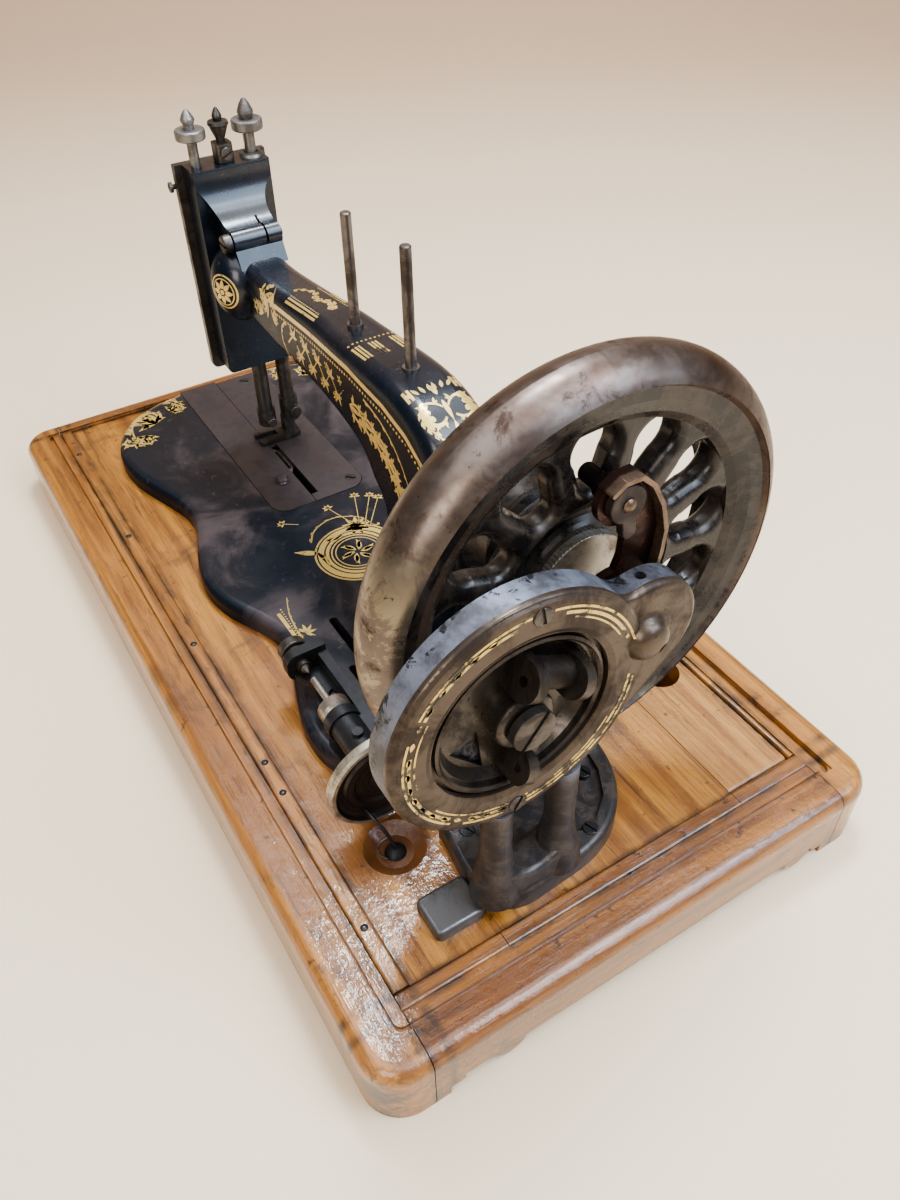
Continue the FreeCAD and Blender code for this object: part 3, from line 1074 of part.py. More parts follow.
def main():
    os.makedirs("parts", exist_ok=True)
    shapes = dict(rails())
    shapes.update(mouldings())
    for name, make in NODES.items():
        shapes[name] = make()
    for name, shape in shapes.items():
        shape.exportStep("parts/" + name + ".step")
        print(name, len(shape.Solids), shape.isValid(), round(shape.Volume / 1000, 2))


main()
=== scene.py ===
import math

import bpy
from mathutils import Matrix, Vector
from mathutils.bvhtree import BVHTree


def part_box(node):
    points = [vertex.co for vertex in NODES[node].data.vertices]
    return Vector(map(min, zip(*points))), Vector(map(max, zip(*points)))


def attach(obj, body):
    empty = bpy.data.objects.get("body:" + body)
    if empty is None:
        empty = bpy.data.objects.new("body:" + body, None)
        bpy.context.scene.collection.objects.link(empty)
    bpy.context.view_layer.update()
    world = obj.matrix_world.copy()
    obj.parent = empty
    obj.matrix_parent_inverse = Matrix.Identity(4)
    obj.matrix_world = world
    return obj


# A worn hand-crank sewing machine with gilt ornament on a varnished plinth.  Everything ends up in metres,
# in the frame's axes.  Places on the machine are written in millimetres and multiplied by MM.

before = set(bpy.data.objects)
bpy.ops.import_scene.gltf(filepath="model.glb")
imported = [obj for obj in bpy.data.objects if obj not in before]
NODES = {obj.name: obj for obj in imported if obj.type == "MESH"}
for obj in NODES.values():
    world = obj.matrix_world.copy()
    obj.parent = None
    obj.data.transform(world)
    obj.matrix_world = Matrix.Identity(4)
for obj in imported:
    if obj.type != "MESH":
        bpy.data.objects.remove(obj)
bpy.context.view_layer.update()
MM, METRE = 0.001, 1000.0
SHAFT_Y, SHAFT_Z = 5.0, 144.0                 # balance wheel's axis
GEAR_Y, GEAR_Z = -40.986, 135.311             # crank gear's axis
WINDER_Y, WINDER_Z = -62.5, 57.0              # winder wheel's axis
RECESS_X, RECESS_Y = 146, -66                 # countersunk recess in the board

LENS, SENSOR = 29.35, 36.0
NEAREST, FARTHEST = 0.01, 20.0                # metres
CAMERA_PLACE = (0.3396, -0.1548, 0.3590)      # metres
CAMERA_RIGHT = Vector((0.527, 0.850, -0.017))
CAMERA_AHEAD = Vector((-0.626, 0.375, -0.684))

COOL, WARM = (0.80, 0.90, 1.0), (1.0, 0.95, 0.88)
SKY_BLUE, CEILING_WHITE = (0.62, 0.78, 1.0), (0.93, 0.96, 1.0)
LAMPS = (                                     # name, place, target, size, watts, colour; in metres
    ("window", (-0.27, 0.24, 1.25), (0.20, -0.06, 0.05), (0.27, 0.27), 13.0, COOL),
    ("panel", (0.52, 0.40, 1.05), (-0.05, 0.0, 0.12), (0.50, 0.40), 5.5, COOL),
    ("sky", (0.74, 0.43, 0.76), (-0.10, 0.0, 0.17), (0.60, 0.60), 9.0, SKY_BLUE),
    ("ceiling", (0.1, -0.1, 1.8), (0, 0, 0.1), (2.2, 2.2), 40.0, CEILING_WHITE),
    ("front", (0.9, -1.1, 0.9), (0, 0, 0.08), (0.7, 0.7), 10.0, WARM),
)
ROOM_COLOUR, ROOM_STRENGTH = (0.84, 0.79, 0.73, 1), 0.34


# ---- camera and light ----
def add_camera():
    """Looks down 43 degrees at the machine, from 59 degrees round towards the wheel end."""
    data = bpy.data.cameras.new("camera")
    data.sensor_width = SENSOR
    data.lens = LENS
    data.clip_start, data.clip_end = NEAREST, FARTHEST
    cam = bpy.data.objects.new("camera", data)
    ahead = CAMERA_AHEAD.normalized()
    right = (CAMERA_RIGHT - ahead * CAMERA_RIGHT.dot(ahead)).normalized()
    up = right.cross(ahead).normalized()
    turn = Matrix((right, up, -ahead)).transposed().to_4x4()
    cam.matrix_world = Matrix.Translation(CAMERA_PLACE) @ turn
    bpy.context.scene.collection.objects.link(cam)
    bpy.context.scene.camera = cam


def add_area(name, place, target, size, energy, colour):
    data = bpy.data.lights.new(name, "AREA")
    data.shape = "RECTANGLE"
    data.size, data.size_y = size
    data.energy = energy
    data.color = colour
    lamp = bpy.data.objects.new(name, data)
    lamp.location = place
    lamp.rotation_mode = "QUATERNION"
    lamp.rotation_quaternion = (Vector(target) - Vector(place)).to_track_quat("-Z", "Y")
    bpy.context.scene.collection.objects.link(lamp)


def add_lights():
    for lamp in LAMPS:
        add_area(*lamp)
    world = bpy.data.worlds.new("room")
    world.use_nodes = True
    back = world.node_tree.nodes["Background"]
    back.inputs["Color"].default_value = ROOM_COLOUR
    back.inputs["Strength"].default_value = ROOM_STRENGTH
    bpy.context.scene.world = world


# ---- material building blocks ----
def rgba(value):
    """A colour's three numbers with full alpha, and any other value as it is."""
    return (*value, 1) if isinstance(value, tuple) and len(value) == 3 else value


def shade(colour, factors):
    return tuple(part * factor for part, factor in zip(colour, factors))


class Look:
    """One procedural material and the nodes that feed its shader."""

    def __init__(self, name):
        self.mat = bpy.data.materials.new(name)
        self.mat.use_nodes = True
        self.tree = self.mat.node_tree
        self.shader = self.tree.nodes["Principled BSDF"]
        self.place = self.add("ShaderNodeTexCoord").outputs["Object"]

    def add(self, kind, **settings):
        node = self.tree.nodes.new(kind)
        for key, value in settings.items():
            setattr(node, key, value)
        return node

    def put(self, socket, value):
        if isinstance(value, bpy.types.NodeSocket):
            self.tree.links.new(value, socket)
        else:
            socket.default_value = value

    def set(self, **values):
        for key, value in values.items():
            self.put(self.shader.inputs[key.replace("_", " ")], rgba(value))

    def scaled(self, factors):
        node = self.add("ShaderNodeVectorMath", operation="MULTIPLY")
        self.put(node.inputs[0], self.place)
        node.inputs[1].default_value = factors
        return node.outputs[0]

    def noise(self, scale, detail=4.0, rough=0.55, twist=0.0, stretch=None):
        node = self.add("ShaderNodeTexNoise")
        self.put(node.inputs["Vector"], self.scaled(stretch) if stretch else self.place)
        node.inputs["Scale"].default_value = scale
        node.inputs["Detail"].default_value = detail
        node.inputs["Roughness"].default_value = rough
        node.inputs["Distortion"].default_value = twist
        return node.outputs["Fac"]

    def step(self, value, low, high, out_low=0.0, out_high=1.0):
        """Smoothly maps low..high to out_low..out_high."""
        node = self.add("ShaderNodeMapRange", interpolation_type="SMOOTHSTEP")
        self.put(node.inputs[0], value)
        for index, number in enumerate((low, high, out_low, out_high)):
            node.inputs[index + 1].default_value = number
        return node.outputs[0]

    def calc(self, operation, first, second=0.0):
        node = self.add("ShaderNodeMath", operation=operation)
        self.put(node.inputs[0], first)
        self.put(node.inputs[1], second)
        return node.outputs[0]

    def plus(self, first, second):
        return self.calc("ADD", first, second)

    def minus(self, first, second):
        return self.calc("SUBTRACT", first, second)

    def times(self, first, second):
        return self.calc("MULTIPLY", first, second)

    def most(self, first, second):
        return self.calc("MAXIMUM", first, second)

    def mix(self, share, first, second):
        node = self.add("ShaderNodeMix", data_type="RGBA")
        for index, value in ((0, share), (6, first), (7, second)):
            self.put(node.inputs[index], rgba(value))
        return node.outputs[2]

    def tint(self, tone, mask, share, colour):
        """The tone with a share of the colour laid over it where the mask is 1."""
        return self.mix(self.times(mask, share), tone, colour)

    def relief(self, socket, height, strength, distance):
        node = self.add("ShaderNodeBump")
        node.inputs["Strength"].default_value = strength
        node.inputs["Distance"].default_value = distance
        self.put(node.inputs["Height"], height)
        self.put(self.shader.inputs[socket], node.outputs[0])

    def bump(self, height, strength, distance):
        """The last step of every look: its surface relief."""
        self.relief("Normal", height, strength, distance)
        return self.mat

    def ripple(self, height, strength, distance):
        """Uneven varnish: breaks up the reflections of the clear coat only."""
        self.relief("Coat Normal", height, strength, distance)

    def axis(self, which):
        node = self.add("ShaderNodeSeparateXYZ")
        self.put(node.inputs[0], self.place)
        return node.outputs[which]

    def away(self, first_axis, first, second_axis, second):
        """Distance in metres from a line at these places, in millimetres, on two axes."""
        one = self.minus(self.axis(first_axis), first * MM)
        two = self.minus(self.axis(second_axis), second * MM)
        total = self.plus(self.times(one, one), self.times(two, two))
        return self.calc("SQRT", total)

    def radius(self, y, z):
        """Distance in metres from an axis along X."""
        return self.away(1, y, 2, z)

    def frontward(self):
        """1 where the surface faces the operator, 0 elsewhere."""
        node = self.add("ShaderNodeSeparateXYZ")
        self.put(node.inputs[0], self.add("ShaderNodeNewGeometry").outputs["Normal"])
        return self.step(node.outputs[1], -0.85, -0.45, 1.0, 0.0)

    def near(self, x, y, reach):
        """1 at an upright line through x, y and 0 at the reach, in millimetres."""
        return self.step(self.away(0, x, 1, y), 0.0, reach * MM, 1.0, 0.0)


SEAM_PLACES = (                               # axis, place: joints of rails, mouldings and board
    (0, 197.0), (0, 204.0), (0, -213.0), (1, -96.0), (1, -89.0), (1, 96.0), (1, 93.0))
DIRTY_CORNERS = ((226, -118, 75), (226, 118, 60), (178, -45, 48))     # x, y, reach
RECESS_REACH = 21
SEAM_HALF_WIDTH, SEAM_FADE = 0.0002, 0.0030   # metres


def seam_dirt_and_shade(look):
    """Dirt and painted shade in the joints between the plinth's rails, mouldings and board."""
    darkening = None
    for which, place in SEAM_PLACES:
        offset = look.minus(look.axis(which), place * MM)
        band = look.step(look.calc("ABSOLUTE", offset), SEAM_HALF_WIDTH, SEAM_FADE, 1.0, 0.0)
        darkening = band if darkening is None else look.most(darkening, band)
    return look.times(darkening, look.step(look.noise(60.0, 4.0, 0.6), 0.30, 0.62))


def dirt_map(look, stains):
    """Stains, heaviest at the crank end's corners and the gear case's foot."""
    corners = look.most(look.near(*DIRTY_CORNERS[0]), look.near(*DIRTY_CORNERS[1]))
    corners = look.most(corners, look.near(*DIRTY_CORNERS[2]))
    return look.times(stains, look.plus(0.46, look.times(corners, 0.9)))


PORE_BROWN, STREAK_BROWN = (0.035, 0.012, 0.004), (0.055, 0.018, 0.006)
GRIME, SPECK_BLACK = (0.022, 0.010, 0.006), (0.016, 0.008, 0.005)
# The seam colour stands for dirt and painted shade along the joints.
SEAM_DIRT_AND_SHADE, OILED_RED = (0.018, 0.008, 0.004), (0.075, 0.024, 0.012)


def wood(name, along, light, dark, gloss, shift=0.0):
    """Varnished softwood: grain runs along axis 0 or 1, with pores, stains and old scratches."""
    look = Look(name)

    def grain(length, width):
        factors = [METRE / width] * 3
        factors[along] = METRE / length
        return tuple(factors)

    bands = look.noise(1.0, 5.0, 0.62, 0.9 + shift, grain(240, 9))
    fibres = look.noise(1.0, 3.0, 0.6, 0.0, grain(34, 0.9))
    pores = look.step(look.noise(1.0, 2.0, 0.5, shift, grain(14, 0.5)), 0.58, 0.70)
    streaks = look.step(look.noise(1.0, 5.0, 0.66, 0.8 + shift, grain(85, 5.5)), 0.56, 0.70)
    stains = look.step(look.noise(24.0, 8.0, 0.70, 0.6 + shift), 0.53, 0.66)
    specks = look.step(look.noise(170.0, 4.0, 0.62), 0.63, 0.70)
    worn = look.step(look.noise(11.0, 6.0, 0.62, shift), 0.46, 0.66)
    tone = look.mix(look.step(bands, 0.36, 0.64), light, dark)
    tone = look.tint(tone, look.step(fibres, 0.45, 0.75), 0.40, shade(dark, (0.5, 0.38, 0.35)))
    tone = look.tint(tone, pores, 0.65, PORE_BROWN)
    tone = look.tint(tone, worn, 0.30, shade(light, (0.72, 0.60, 0.62)))
    tone = look.tint(tone, streaks, 0.74, STREAK_BROWN)
    darkening = dirt_map(look, stains)
    tone = look.mix(look.calc("MINIMUM", darkening, 0.92), tone, GRIME)
    tone = look.tint(tone, specks, 0.70, SPECK_BLACK)
    # Dirt and painted shade darken the wood along the joints between rails, mouldings and board.
    tone = look.tint(tone, seam_dirt_and_shade(look), 0.80, SEAM_DIRT_AND_SHADE)
    wet = look.near(RECESS_X, RECESS_Y, RECESS_REACH)
    tone = look.tint(tone, look.step(wet, 0.05, 0.5), 0.72, OILED_RED)
    rough = look.plus(gloss, look.times(look.noise(38.0, 5.0), 0.24))
    look.set(Base_Color=tone, Roughness=rough, Coat_Weight=0.80, Coat_Roughness=0.05)
    dents = look.noise(58.0, 8.0, 0.76)
    height = look.plus(look.times(fibres, 0.35), look.times(pores, -0.8))
    height = look.plus(height, look.times(dents, 5.5))
    height = look.plus(height, look.times(specks, -0.8))
    look.ripple(look.plus(look.noise(46.0, 5.0, 0.62), look.times(fibres, 0.10)), 0.55, 0.0016)
    return look.bump(height, 0.34, 0.0006)


THIN_BROWN, JAPAN_BLACK = (0.040, 0.028, 0.028), (0.0050, 0.0085, 0.0150)
DUST_GREY, CHIP_BROWN = (0.15, 0.13, 0.12), (0.085, 0.060, 0.045)


def enamel(name, brown, rough, sheen, worn=THIN_BROWN):
    """Old black japanning: brown where it is thin, dusty in specks, slightly wavy, and glossy except where
    it faces the operator, where its coat and specular level are cut as painted shade."""
    look = Look(name)
    thin = look.step(look.noise(23.0, 6.0, 0.62, 0.6), 0.44, 0.66)
    dust = look.step(look.noise(310.0, 4.0, 0.65), 0.62, 0.72)
    chips = look.step(look.noise(75.0, 5.0, 0.7, 0.4), 0.66, 0.70)
    tone = look.mix(look.times(thin, brown), JAPAN_BLACK, worn)
    tone = look.tint(tone, dust, 0.30, DUST_GREY)
    tone = look.tint(tone, chips, 0.55, CHIP_BROWN)
    gloss = look.plus(rough, look.times(look.noise(48.0, 5.0, 0.65), 0.30))
    # Painted shade: the coat and specular level drop where the enamel faces the operator, so that side
    # reads darker.
    front_shade = look.frontward()
    look.set(Base_Color=tone, Roughness=gloss, Coat_Roughness=0.14,
             Coat_Weight=look.step(front_shade, 0.0, 1.0, sheen, sheen * 0.12),
             Specular_IOR_Level=look.step(front_shade, 0.0, 1.0, 0.5, 0.10))
    waves = look.plus(look.noise(110.0, 3.0), look.times(chips, -1.5))
    return look.bump(waves, 0.14, 0.0005)


EVEN_GRAIN = (900.0, 900.0, 900.0)
UPRIGHT_LINES, LONG_LINES = (90, 90, 30), (90, 90, 900)


def metal(name, clean, aged, rough, share=0.5, shine=0.9, grain=EVEN_GRAIN):
    """Bare or plated metal with patina in patches, fine pits and a trace of its turning or filing."""
    look = Look(name)
    low, high = 0.62 - share * 0.4, 0.82 - share * 0.4
    patina = look.step(look.noise(58.0, 7.0, 0.68, 0.5), low, high)
    spots = look.step(look.noise(420.0, 4.0, 0.6), 0.63, 0.72)
    tone = look.mix(patina, clean, aged)
    tone = look.tint(tone, spots, 0.6, shade(aged, (0.35, 0.3, 0.28)))
    gloss = look.plus(rough, look.times(patina, 0.20))
    gloss = look.plus(gloss, look.times(look.noise(160.0), 0.12))
    look.set(Base_Color=tone, Metallic=shine, Roughness=gloss)
    marks = look.noise(1.0, 3.0, 0.6, 0.0, grain)
    height = look.plus(look.times(marks, 0.4), look.times(spots, -0.75))
    return look.bump(height, 0.20, 0.0003)


RIM_GREY, RIM_BROWN, RIM_SPOT = (0.185, 0.150, 0.130), (0.098, 0.062, 0.048), (0.060, 0.038, 0.030)
RIM_PALE_PATCH, RIM_PIT = (0.36, 0.31, 0.22), (0.05, 0.03, 0.02)
WEB_BLACK, WEB_BROWN = (0.018, 0.015, 0.014), (0.060, 0.047, 0.038)
RIM_FROM, RIM_TO = 0.0705, 0.0735             # radius where the web gives way to the rim, metres


def wheel_metal():
    """Plated rim gone brown and grey, with pale patches on its lower side; greasy dark web and hub."""
    look = Look("balance_wheel_metal")
    radius = look.radius(SHAFT_Y, SHAFT_Z)
    blotch = look.noise(15.0, 7.0, 0.62, 0.8)
    fine = look.noise(95.0, 6.0, 0.7, 0.4)
    ragged = look.plus(radius, look.times(look.minus(fine, 0.5), 0.004))
    plated = look.step(ragged, RIM_FROM, RIM_TO)
    bare = look.mix(look.step(blotch, 0.38, 0.62), RIM_GREY, RIM_BROWN)
    bare = look.mix(look.step(fine, 0.55, 0.68), bare, RIM_SPOT)
    low = look.step(look.plus(look.axis(2), look.axis(1)), 0.150, 0.085)
    # Pale patches on the rim's lower side.
    pale_patches = look.step(look.noise(42.0, 8.0, 0.74, 0.7), 0.50, 0.56)
    bare = look.tint(bare, look.times(pale_patches, low), 0.85, RIM_PALE_PATCH)
    pits = look.step(look.noise(330.0, 4.0, 0.7), 0.64, 0.72)
    bare = look.tint(bare, pits, 0.8, RIM_PIT)
    dark = look.mix(look.step(fine, 0.40, 0.66), WEB_BLACK, WEB_BROWN)
    tone = look.mix(plated, dark, bare)
    rough = look.step(plated, 0, 1, 0.20, 0.27)
    rough = look.plus(rough, look.times(look.step(fine, 0.3, 0.75), 0.24))
    look.set(Base_Color=tone, Metallic=look.step(plated, 0, 1, 0.30, 0.92), Roughness=rough)
    height = look.plus(look.times(pits, -1.0), look.times(fine, 0.9))
    return look.bump(height, 0.20, 0.0005)


PAINT_BLUE, PAINT_GREY, CHIPPED_BLACK = (0.165, 0.175, 0.215), (0.058, 0.056, 0.064), (0.012, 0.011, 0.012)
IRON_GREY, IRON_BROWN = (0.040, 0.038, 0.040), (0.085, 0.068, 0.058)


def drum_paint():
    """The gear case: grey-blue paint chipped to black on the drum, plain oily iron below it."""
    look = Look("gear_case_paint")
    chips_noise = look.noise(150.0, 7.0, 0.72, 0.5)
    rear = look.step(look.axis(0), 0.1870, 0.1800)
    low = look.step(look.axis(2), 0.093, 0.086)
    chips = look.step(look.plus(chips_noise, look.times(rear, 0.07)), 0.59, 0.64)
    paint = look.mix(look.step(look.noise(60.0, 7.0, 0.7), 0.36, 0.62), PAINT_BLUE, PAINT_GREY)
    drum = look.tint(paint, chips, 0.97, CHIPPED_BLACK)
    iron = look.mix(look.step(chips_noise, 0.4, 0.65), IRON_GREY, IRON_BROWN)
    tone = look.mix(low, drum, iron)
    rough = look.step(low, 0, 1, 0.30, 0.20)
    rough = look.plus(rough, look.times(look.noise(70.0, 5.0), 0.28))
    look.set(Base_Color=tone, Metallic=0.35, Roughness=rough)
    return look.bump(look.plus(look.times(chips, -1.0), chips_noise), 0.26, 0.0004)


RING_PITCH = 2600.0                           # radians per metre
FACE_END, RIM_START = 0.0203, 0.0210          # metres


def winder_metal():
    """The winder's friction wheel: pale worn rim and a dark ringed face."""
    look = Look("winder_wheel_metal")
    radius = look.radius(WINDER_Y, WINDER_Z)
    patch = look.step(look.noise(110.0, 6.0, 0.7, 0.4), 0.42, 0.64)
    rim = look.mix(patch, (0.50, 0.46, 0.38), (0.24, 0.20, 0.155))
    rings = look.step(look.calc("SINE", look.times(radius, RING_PITCH)), 0.2, 0.9)
    face = look.mix(look.times(rings, 0.5), (0.055, 0.043, 0.038), WEB_BLACK)
    tone = look.mix(look.step(radius, FACE_END, RIM_START), face, rim)
    look.set(Base_Color=tone, Metallic=0.75, Roughness=look.plus(0.30, look.times(patch, 0.2)))
    return look.bump(look.noise(300.0, 5.0), 0.2, 0.0004)


def dog_metal():
    """The driving arm: dark red-brown face, bronze rib and a black stud behind."""
    look = Look("driving_arm_metal")
    patch = look.step(look.noise(85.0, 6.0, 0.7, 0.4), 0.40, 0.66)
    face = look.mix(patch, (0.060, 0.026, 0.020), (0.030, 0.017, 0.015))
    rib = look.mix(patch, (0.20, 0.135, 0.095), (0.095, 0.060, 0.042))
    tone = look.mix(look.step(look.axis(0), 0.1724, 0.1732), face, rib)
    tone = look.mix(look.step(look.axis(0), 0.1695, 0.1680), tone, (0.014, 0.012, 0.011))
    look.set(Base_Color=tone, Metallic=0.7, Roughness=look.plus(0.26, look.times(patch, 0.2)))
    return look.bump(look.noise(260.0, 5.0), 0.2, 0.0004)


BRIGHT_GOLD, DULL_GOLD, RUBBED_GOLD = (0.82, 0.60, 0.22), (0.55, 0.38, 0.12), (0.035, 0.024, 0.014)


def gilt(name, wear):
    """Gold leaf under old varnish, rubbed through to the black in places."""
    look = Look(name)
    rub = look.step(look.noise(150.0, 6.0, 0.72, 0.5), 0.60 - wear * 0.12, 0.68 - wear * 0.10)
    gold = look.mix(look.noise(60.0), BRIGHT_GOLD, DULL_GOLD)
    tone = look.mix(rub, gold, RUBBED_GOLD)
    look.set(Base_Color=tone, Metallic=look.step(rub, 0, 1, 0.45, 0.1),
             Roughness=look.plus(0.30, look.times(rub, 0.2)), Coat_Weight=0.3, Coat_Roughness=0.2)
    return look.bump(look.noise(500.0, 3.0), 0.08, 0.0002)


HONEY, BROWN = (0.43, 0.190, 0.036), (0.205, 0.074, 0.013)
LOOKS = {
    # wood: name, grain axis, light, dark, roughness, shift of the pattern
    # enamel: name, brownness, roughness, coat, thin colour
    # metal: name, clean, aged, roughness, share aged, metallic, grain
    "rail_x": wood("wood_long_rails", 0, (0.43, 0.185, 0.038), BROWN, 0.22),
    "rail_y": wood("wood_end_rails", 1, (0.33, 0.130, 0.026), (0.135, 0.044, 0.009), 0.16, 0.3),
    "board": wood("wood_board", 0, HONEY, BROWN, 0.22, 0.15),
    "lid": wood("wood_lid", 0, (0.43, 0.205, 0.055), (0.26, 0.105, 0.024), 0.30, 0.5),
    "arm": enamel("black_enamel_arm", 0.25, 0.13, 0.32),
    "bed": enamel("black_enamel_bed", 0.95, 0.17, 0.30, (0.066, 0.052, 0.055)),
    "plate": metal("slide_plate_steel", (0.085, 0.068, 0.066), (0.058, 0.044, 0.043), 0.34, 0.5, 0.60),
    "steel": metal("worn_steel", (0.40, 0.37, 0.33), (0.17, 0.13, 0.105), 0.30, 0.55),
    "dark": metal("dark_steel", (0.125, 0.112, 0.102), (0.055, 0.045, 0.038), 0.32, 0.5),
    "black": metal("oily_black_iron", (0.034, 0.034, 0.038), (0.018, 0.016, 0.016), 0.24, 0.5, 0.45),
    "gear": metal("crank_gear_iron", (0.085, 0.070, 0.058), (0.030, 0.023, 0.019), 0.22, 0.5, 0.75),
    "nut": metal("clutch_nut_steel", (0.46, 0.43, 0.39), (0.24, 0.20, 0.155), 0.30, 0.5, 0.85),
    "face": metal("face_plate_steel", (0.135, 0.115, 0.100), (0.066, 0.052, 0.043), 0.32, 0.5, 0.85,
                  LONG_LINES),
    "bronze": metal("case_cover_brown", (0.100, 0.072, 0.052), (0.040, 0.027, 0.020), 0.24, 0.5, 0.60),
    "pin": metal("spool_pin_steel", (0.19, 0.165, 0.15), (0.085, 0.065, 0.055), 0.30, 0.5, 0.85,
                 UPRIGHT_LINES),
    "bush": metal("bearing_bronze", (0.30, 0.19, 0.10), (0.14, 0.085, 0.05), 0.34, 0.5, 0.85),
    "block": metal("clamp_block_iron", (0.155, 0.150, 0.150), (0.075, 0.068, 0.064), 0.30, 0.45, 0.60),
    "dog": dog_metal(),
    "latch": metal("latch_iron", (0.070, 0.052, 0.046), (0.032, 0.022, 0.019), 0.26, 0.5, 0.6),
    "knob": metal("grey_finial_steel", (0.25, 0.235, 0.22), (0.13, 0.11, 0.098), 0.34, 0.5, 0.8),
    "wheel": wheel_metal(),
    "winder": winder_metal(),
    "drum": drum_paint(),
    "gilt": gilt("gold_leaf", 0.2),
    "gilt_worn": gilt("gold_leaf_rubbed", 1.0),
}

NODE_LOOKS = {
    "front_rail": "rail_x", "back_rail": "rail_x", "left_end_rail": "rail_y", "right_end_rail": "rail_y",
    "front_moulding": "rail_x", "back_moulding": "rail_x", "end_mouldings": "rail_y", "top_board": "board",
    "accessory_tray": "board", "accessory_lid": "lid", "lid_pin": "dark",
    "bed": "bed", "bed_screws": "dark", "needle_plate": "plate", "needle_plate_screws": "dark",
    "slide_plate": "plate", "shuttle_race": "dark", "shuttle": "steel", "shuttle_bobbin": "steel",
    "feed_dog": "dark", "arm_casting": "arm", "shaft_bushes": "bush", "spool_pins": "pin",
    "bracket_pin": "dark", "face_plate": "face", "face_plate_screws": "dark", "main_shaft": "steel",
    "shaft_crank": "dark", "tension_stud": "knob", "tension_nut": "knob", "needle_bar": "dark",
    "needle_clamp": "dark", "presser_bar": "dark", "presser_foot": "dark", "presser_regulator": "knob",
    "presser_washer": "knob", "lifter_pin": "dark", "lifter_lever": "dark", "takeup_stud": "dark",
    "takeup_lever": "face", "balance_wheel": "wheel", "wheel_nut": "nut", "pinion": "black",
    "dog_arm": "dog", "dog_finger": "latch", "crank_gear": "gear", "crank_axle": "dark",
    "pinion_axle": "dark", "gear_case": "drum", "case_cover": "bronze", "cover_screws": "dark",
    "bracket_screws": "black", "clamp_block": "block", "recess_screw": "black", "winder_base": "black",
    "winder_pin": "dark", "winder_frame": "black", "winder_spindle": "steel", "winder_wheel": "winder",
    "winder_tail_screw": "dark",
}


def dress_nodes():
    for name, obj in NODES.items():
        obj.data.materials.clear()
        obj.data.materials.append(LOOKS[NODE_LOOKS[name]])


# ---- gilt ornament, laid on the castings; flat shapes in millimetres ----
LINE_STEP = 2.5


def line(x0, y0, x1, y1, width):
    count = max(2, int(math.hypot(x1 - x0, y1 - y0) / LINE_STEP) + 1)
    points = [(x0 + (x1 - x0) * k / (count - 1), y0 + (y1 - y0) * k / (count - 1)) for k in range(count)]
    return (points, [width] * count)


LEAF_STEPS = 8


def leaf(x, y, angle, length, width, bend=0.0):
    """A pointed leaf that starts at x, y; bend turns it along its length, in degrees."""
    points, widths = [(x, y)], [width * 0.12]
    heading = math.radians(angle)
    for k in range(1, LEAF_STEPS + 1):
        heading += math.radians(bend) / LEAF_STEPS
        x += math.cos(heading) * length / LEAF_STEPS
        y += math.sin(heading) * length / LEAF_STEPS
        points.append((x, y))
        widths.append(width * max(0.06, math.sin(math.pi * (k / LEAF_STEPS) ** 0.8)))
    return (points, widths)


SCROLL_STEPS = 44


def scroll(x, y, angle, size, side, width, turns, leaves):
    """A tapering spiral with leaves on its outer side."""
    points, widths, out = [], [], []
    heading = math.radians(angle)
    for k in range(SCROLL_STEPS):
        share = k / (SCROLL_STEPS - 1)
        pace = size * 3.3 / SCROLL_STEPS * (1.12 - share) ** 1.15
        heading += side * turns * 2 * math.pi / SCROLL_STEPS * (0.35 + 1.3 * share)
        points.append((x, y))
        widths.append(width * (0.35 + 0.9 * math.sin(math.pi * min(1.0, share * 1.15 + 0.1))))
        x, y = x + math.cos(heading) * pace, y + math.sin(heading) * pace
        if leaves and k % (30 // leaves) == 3 and share < 0.72:
            grow, facing = size * (0.42 - 0.32 * share), math.degrees(heading)
            out.append(leaf(x, y, facing - side * 42, grow, grow * 0.34, side * -35))
            out.append(leaf(x, y, facing - side * 75, grow * 0.6, grow * 0.26, side * -30))
    out.append((points, widths))
    out.append(disc(*points[-1], width * 0.75))
    return out


DISC_SHARES = (-0.98, -0.75, -0.4, 0.0, 0.4, 0.75, 0.98)


def disc(x, y, radius):
    return ([(x + radius * s, y) for s in DISC_SHARES],
            [2 * radius * math.sqrt(max(0.02, 1 - s * s)) for s in DISC_SHARES])


def ring(x, y, radius, width, start=0.0, sweep=360.0):
    count = max(10, int(abs(sweep) * radius / 70) + 8)
    angles = [math.radians(start + sweep * k / (count - 1)) for k in range(count)]
    return ([(x + radius * math.cos(a), y + radius * math.sin(a)) for a in angles], [width] * count)


def dotted(x0, y0, x1, y1, gap, radius):
    count = max(2, int(math.hypot(x1 - x0, y1 - y0) / gap))
    return [disc(x0 + (x1 - x0) * k / count, y0 + (y1 - y0) * k / count, radius) for k in range(count + 1)]


def flower(x, y, radius, petals):
    out = [disc(x, y, radius * 0.22)]
    for k in range(petals):
        turn = 360.0 / petals * k
        a = math.radians(turn)
        root = (x + radius * 0.3 * math.cos(a), y + radius * 0.3 * math.sin(a))
        out.append(leaf(*root, turn, radius * 0.75, radius * 0.42))
    return out


def mirrored(shapes, middle):
    """The same shapes reflected about y = middle."""
    return [([(x, 2 * middle - y) for x, y in points], widths) for points, widths in shapes]


def new_object(name, data, look):
    obj = bpy.data.objects.new(name, data)
    bpy.context.scene.collection.objects.link(obj)
    data.materials.append(LOOKS[look])
    return obj


LEAF_LIFT, LEAF_THICKNESS = 0.09, 0.12        # of the gold leaf
LEAST_FACING = 0.25                           # a steeper surface takes no leaf
LONGEST_STEP = 0.012                          # metres; a wider jump is a gap, not a strip


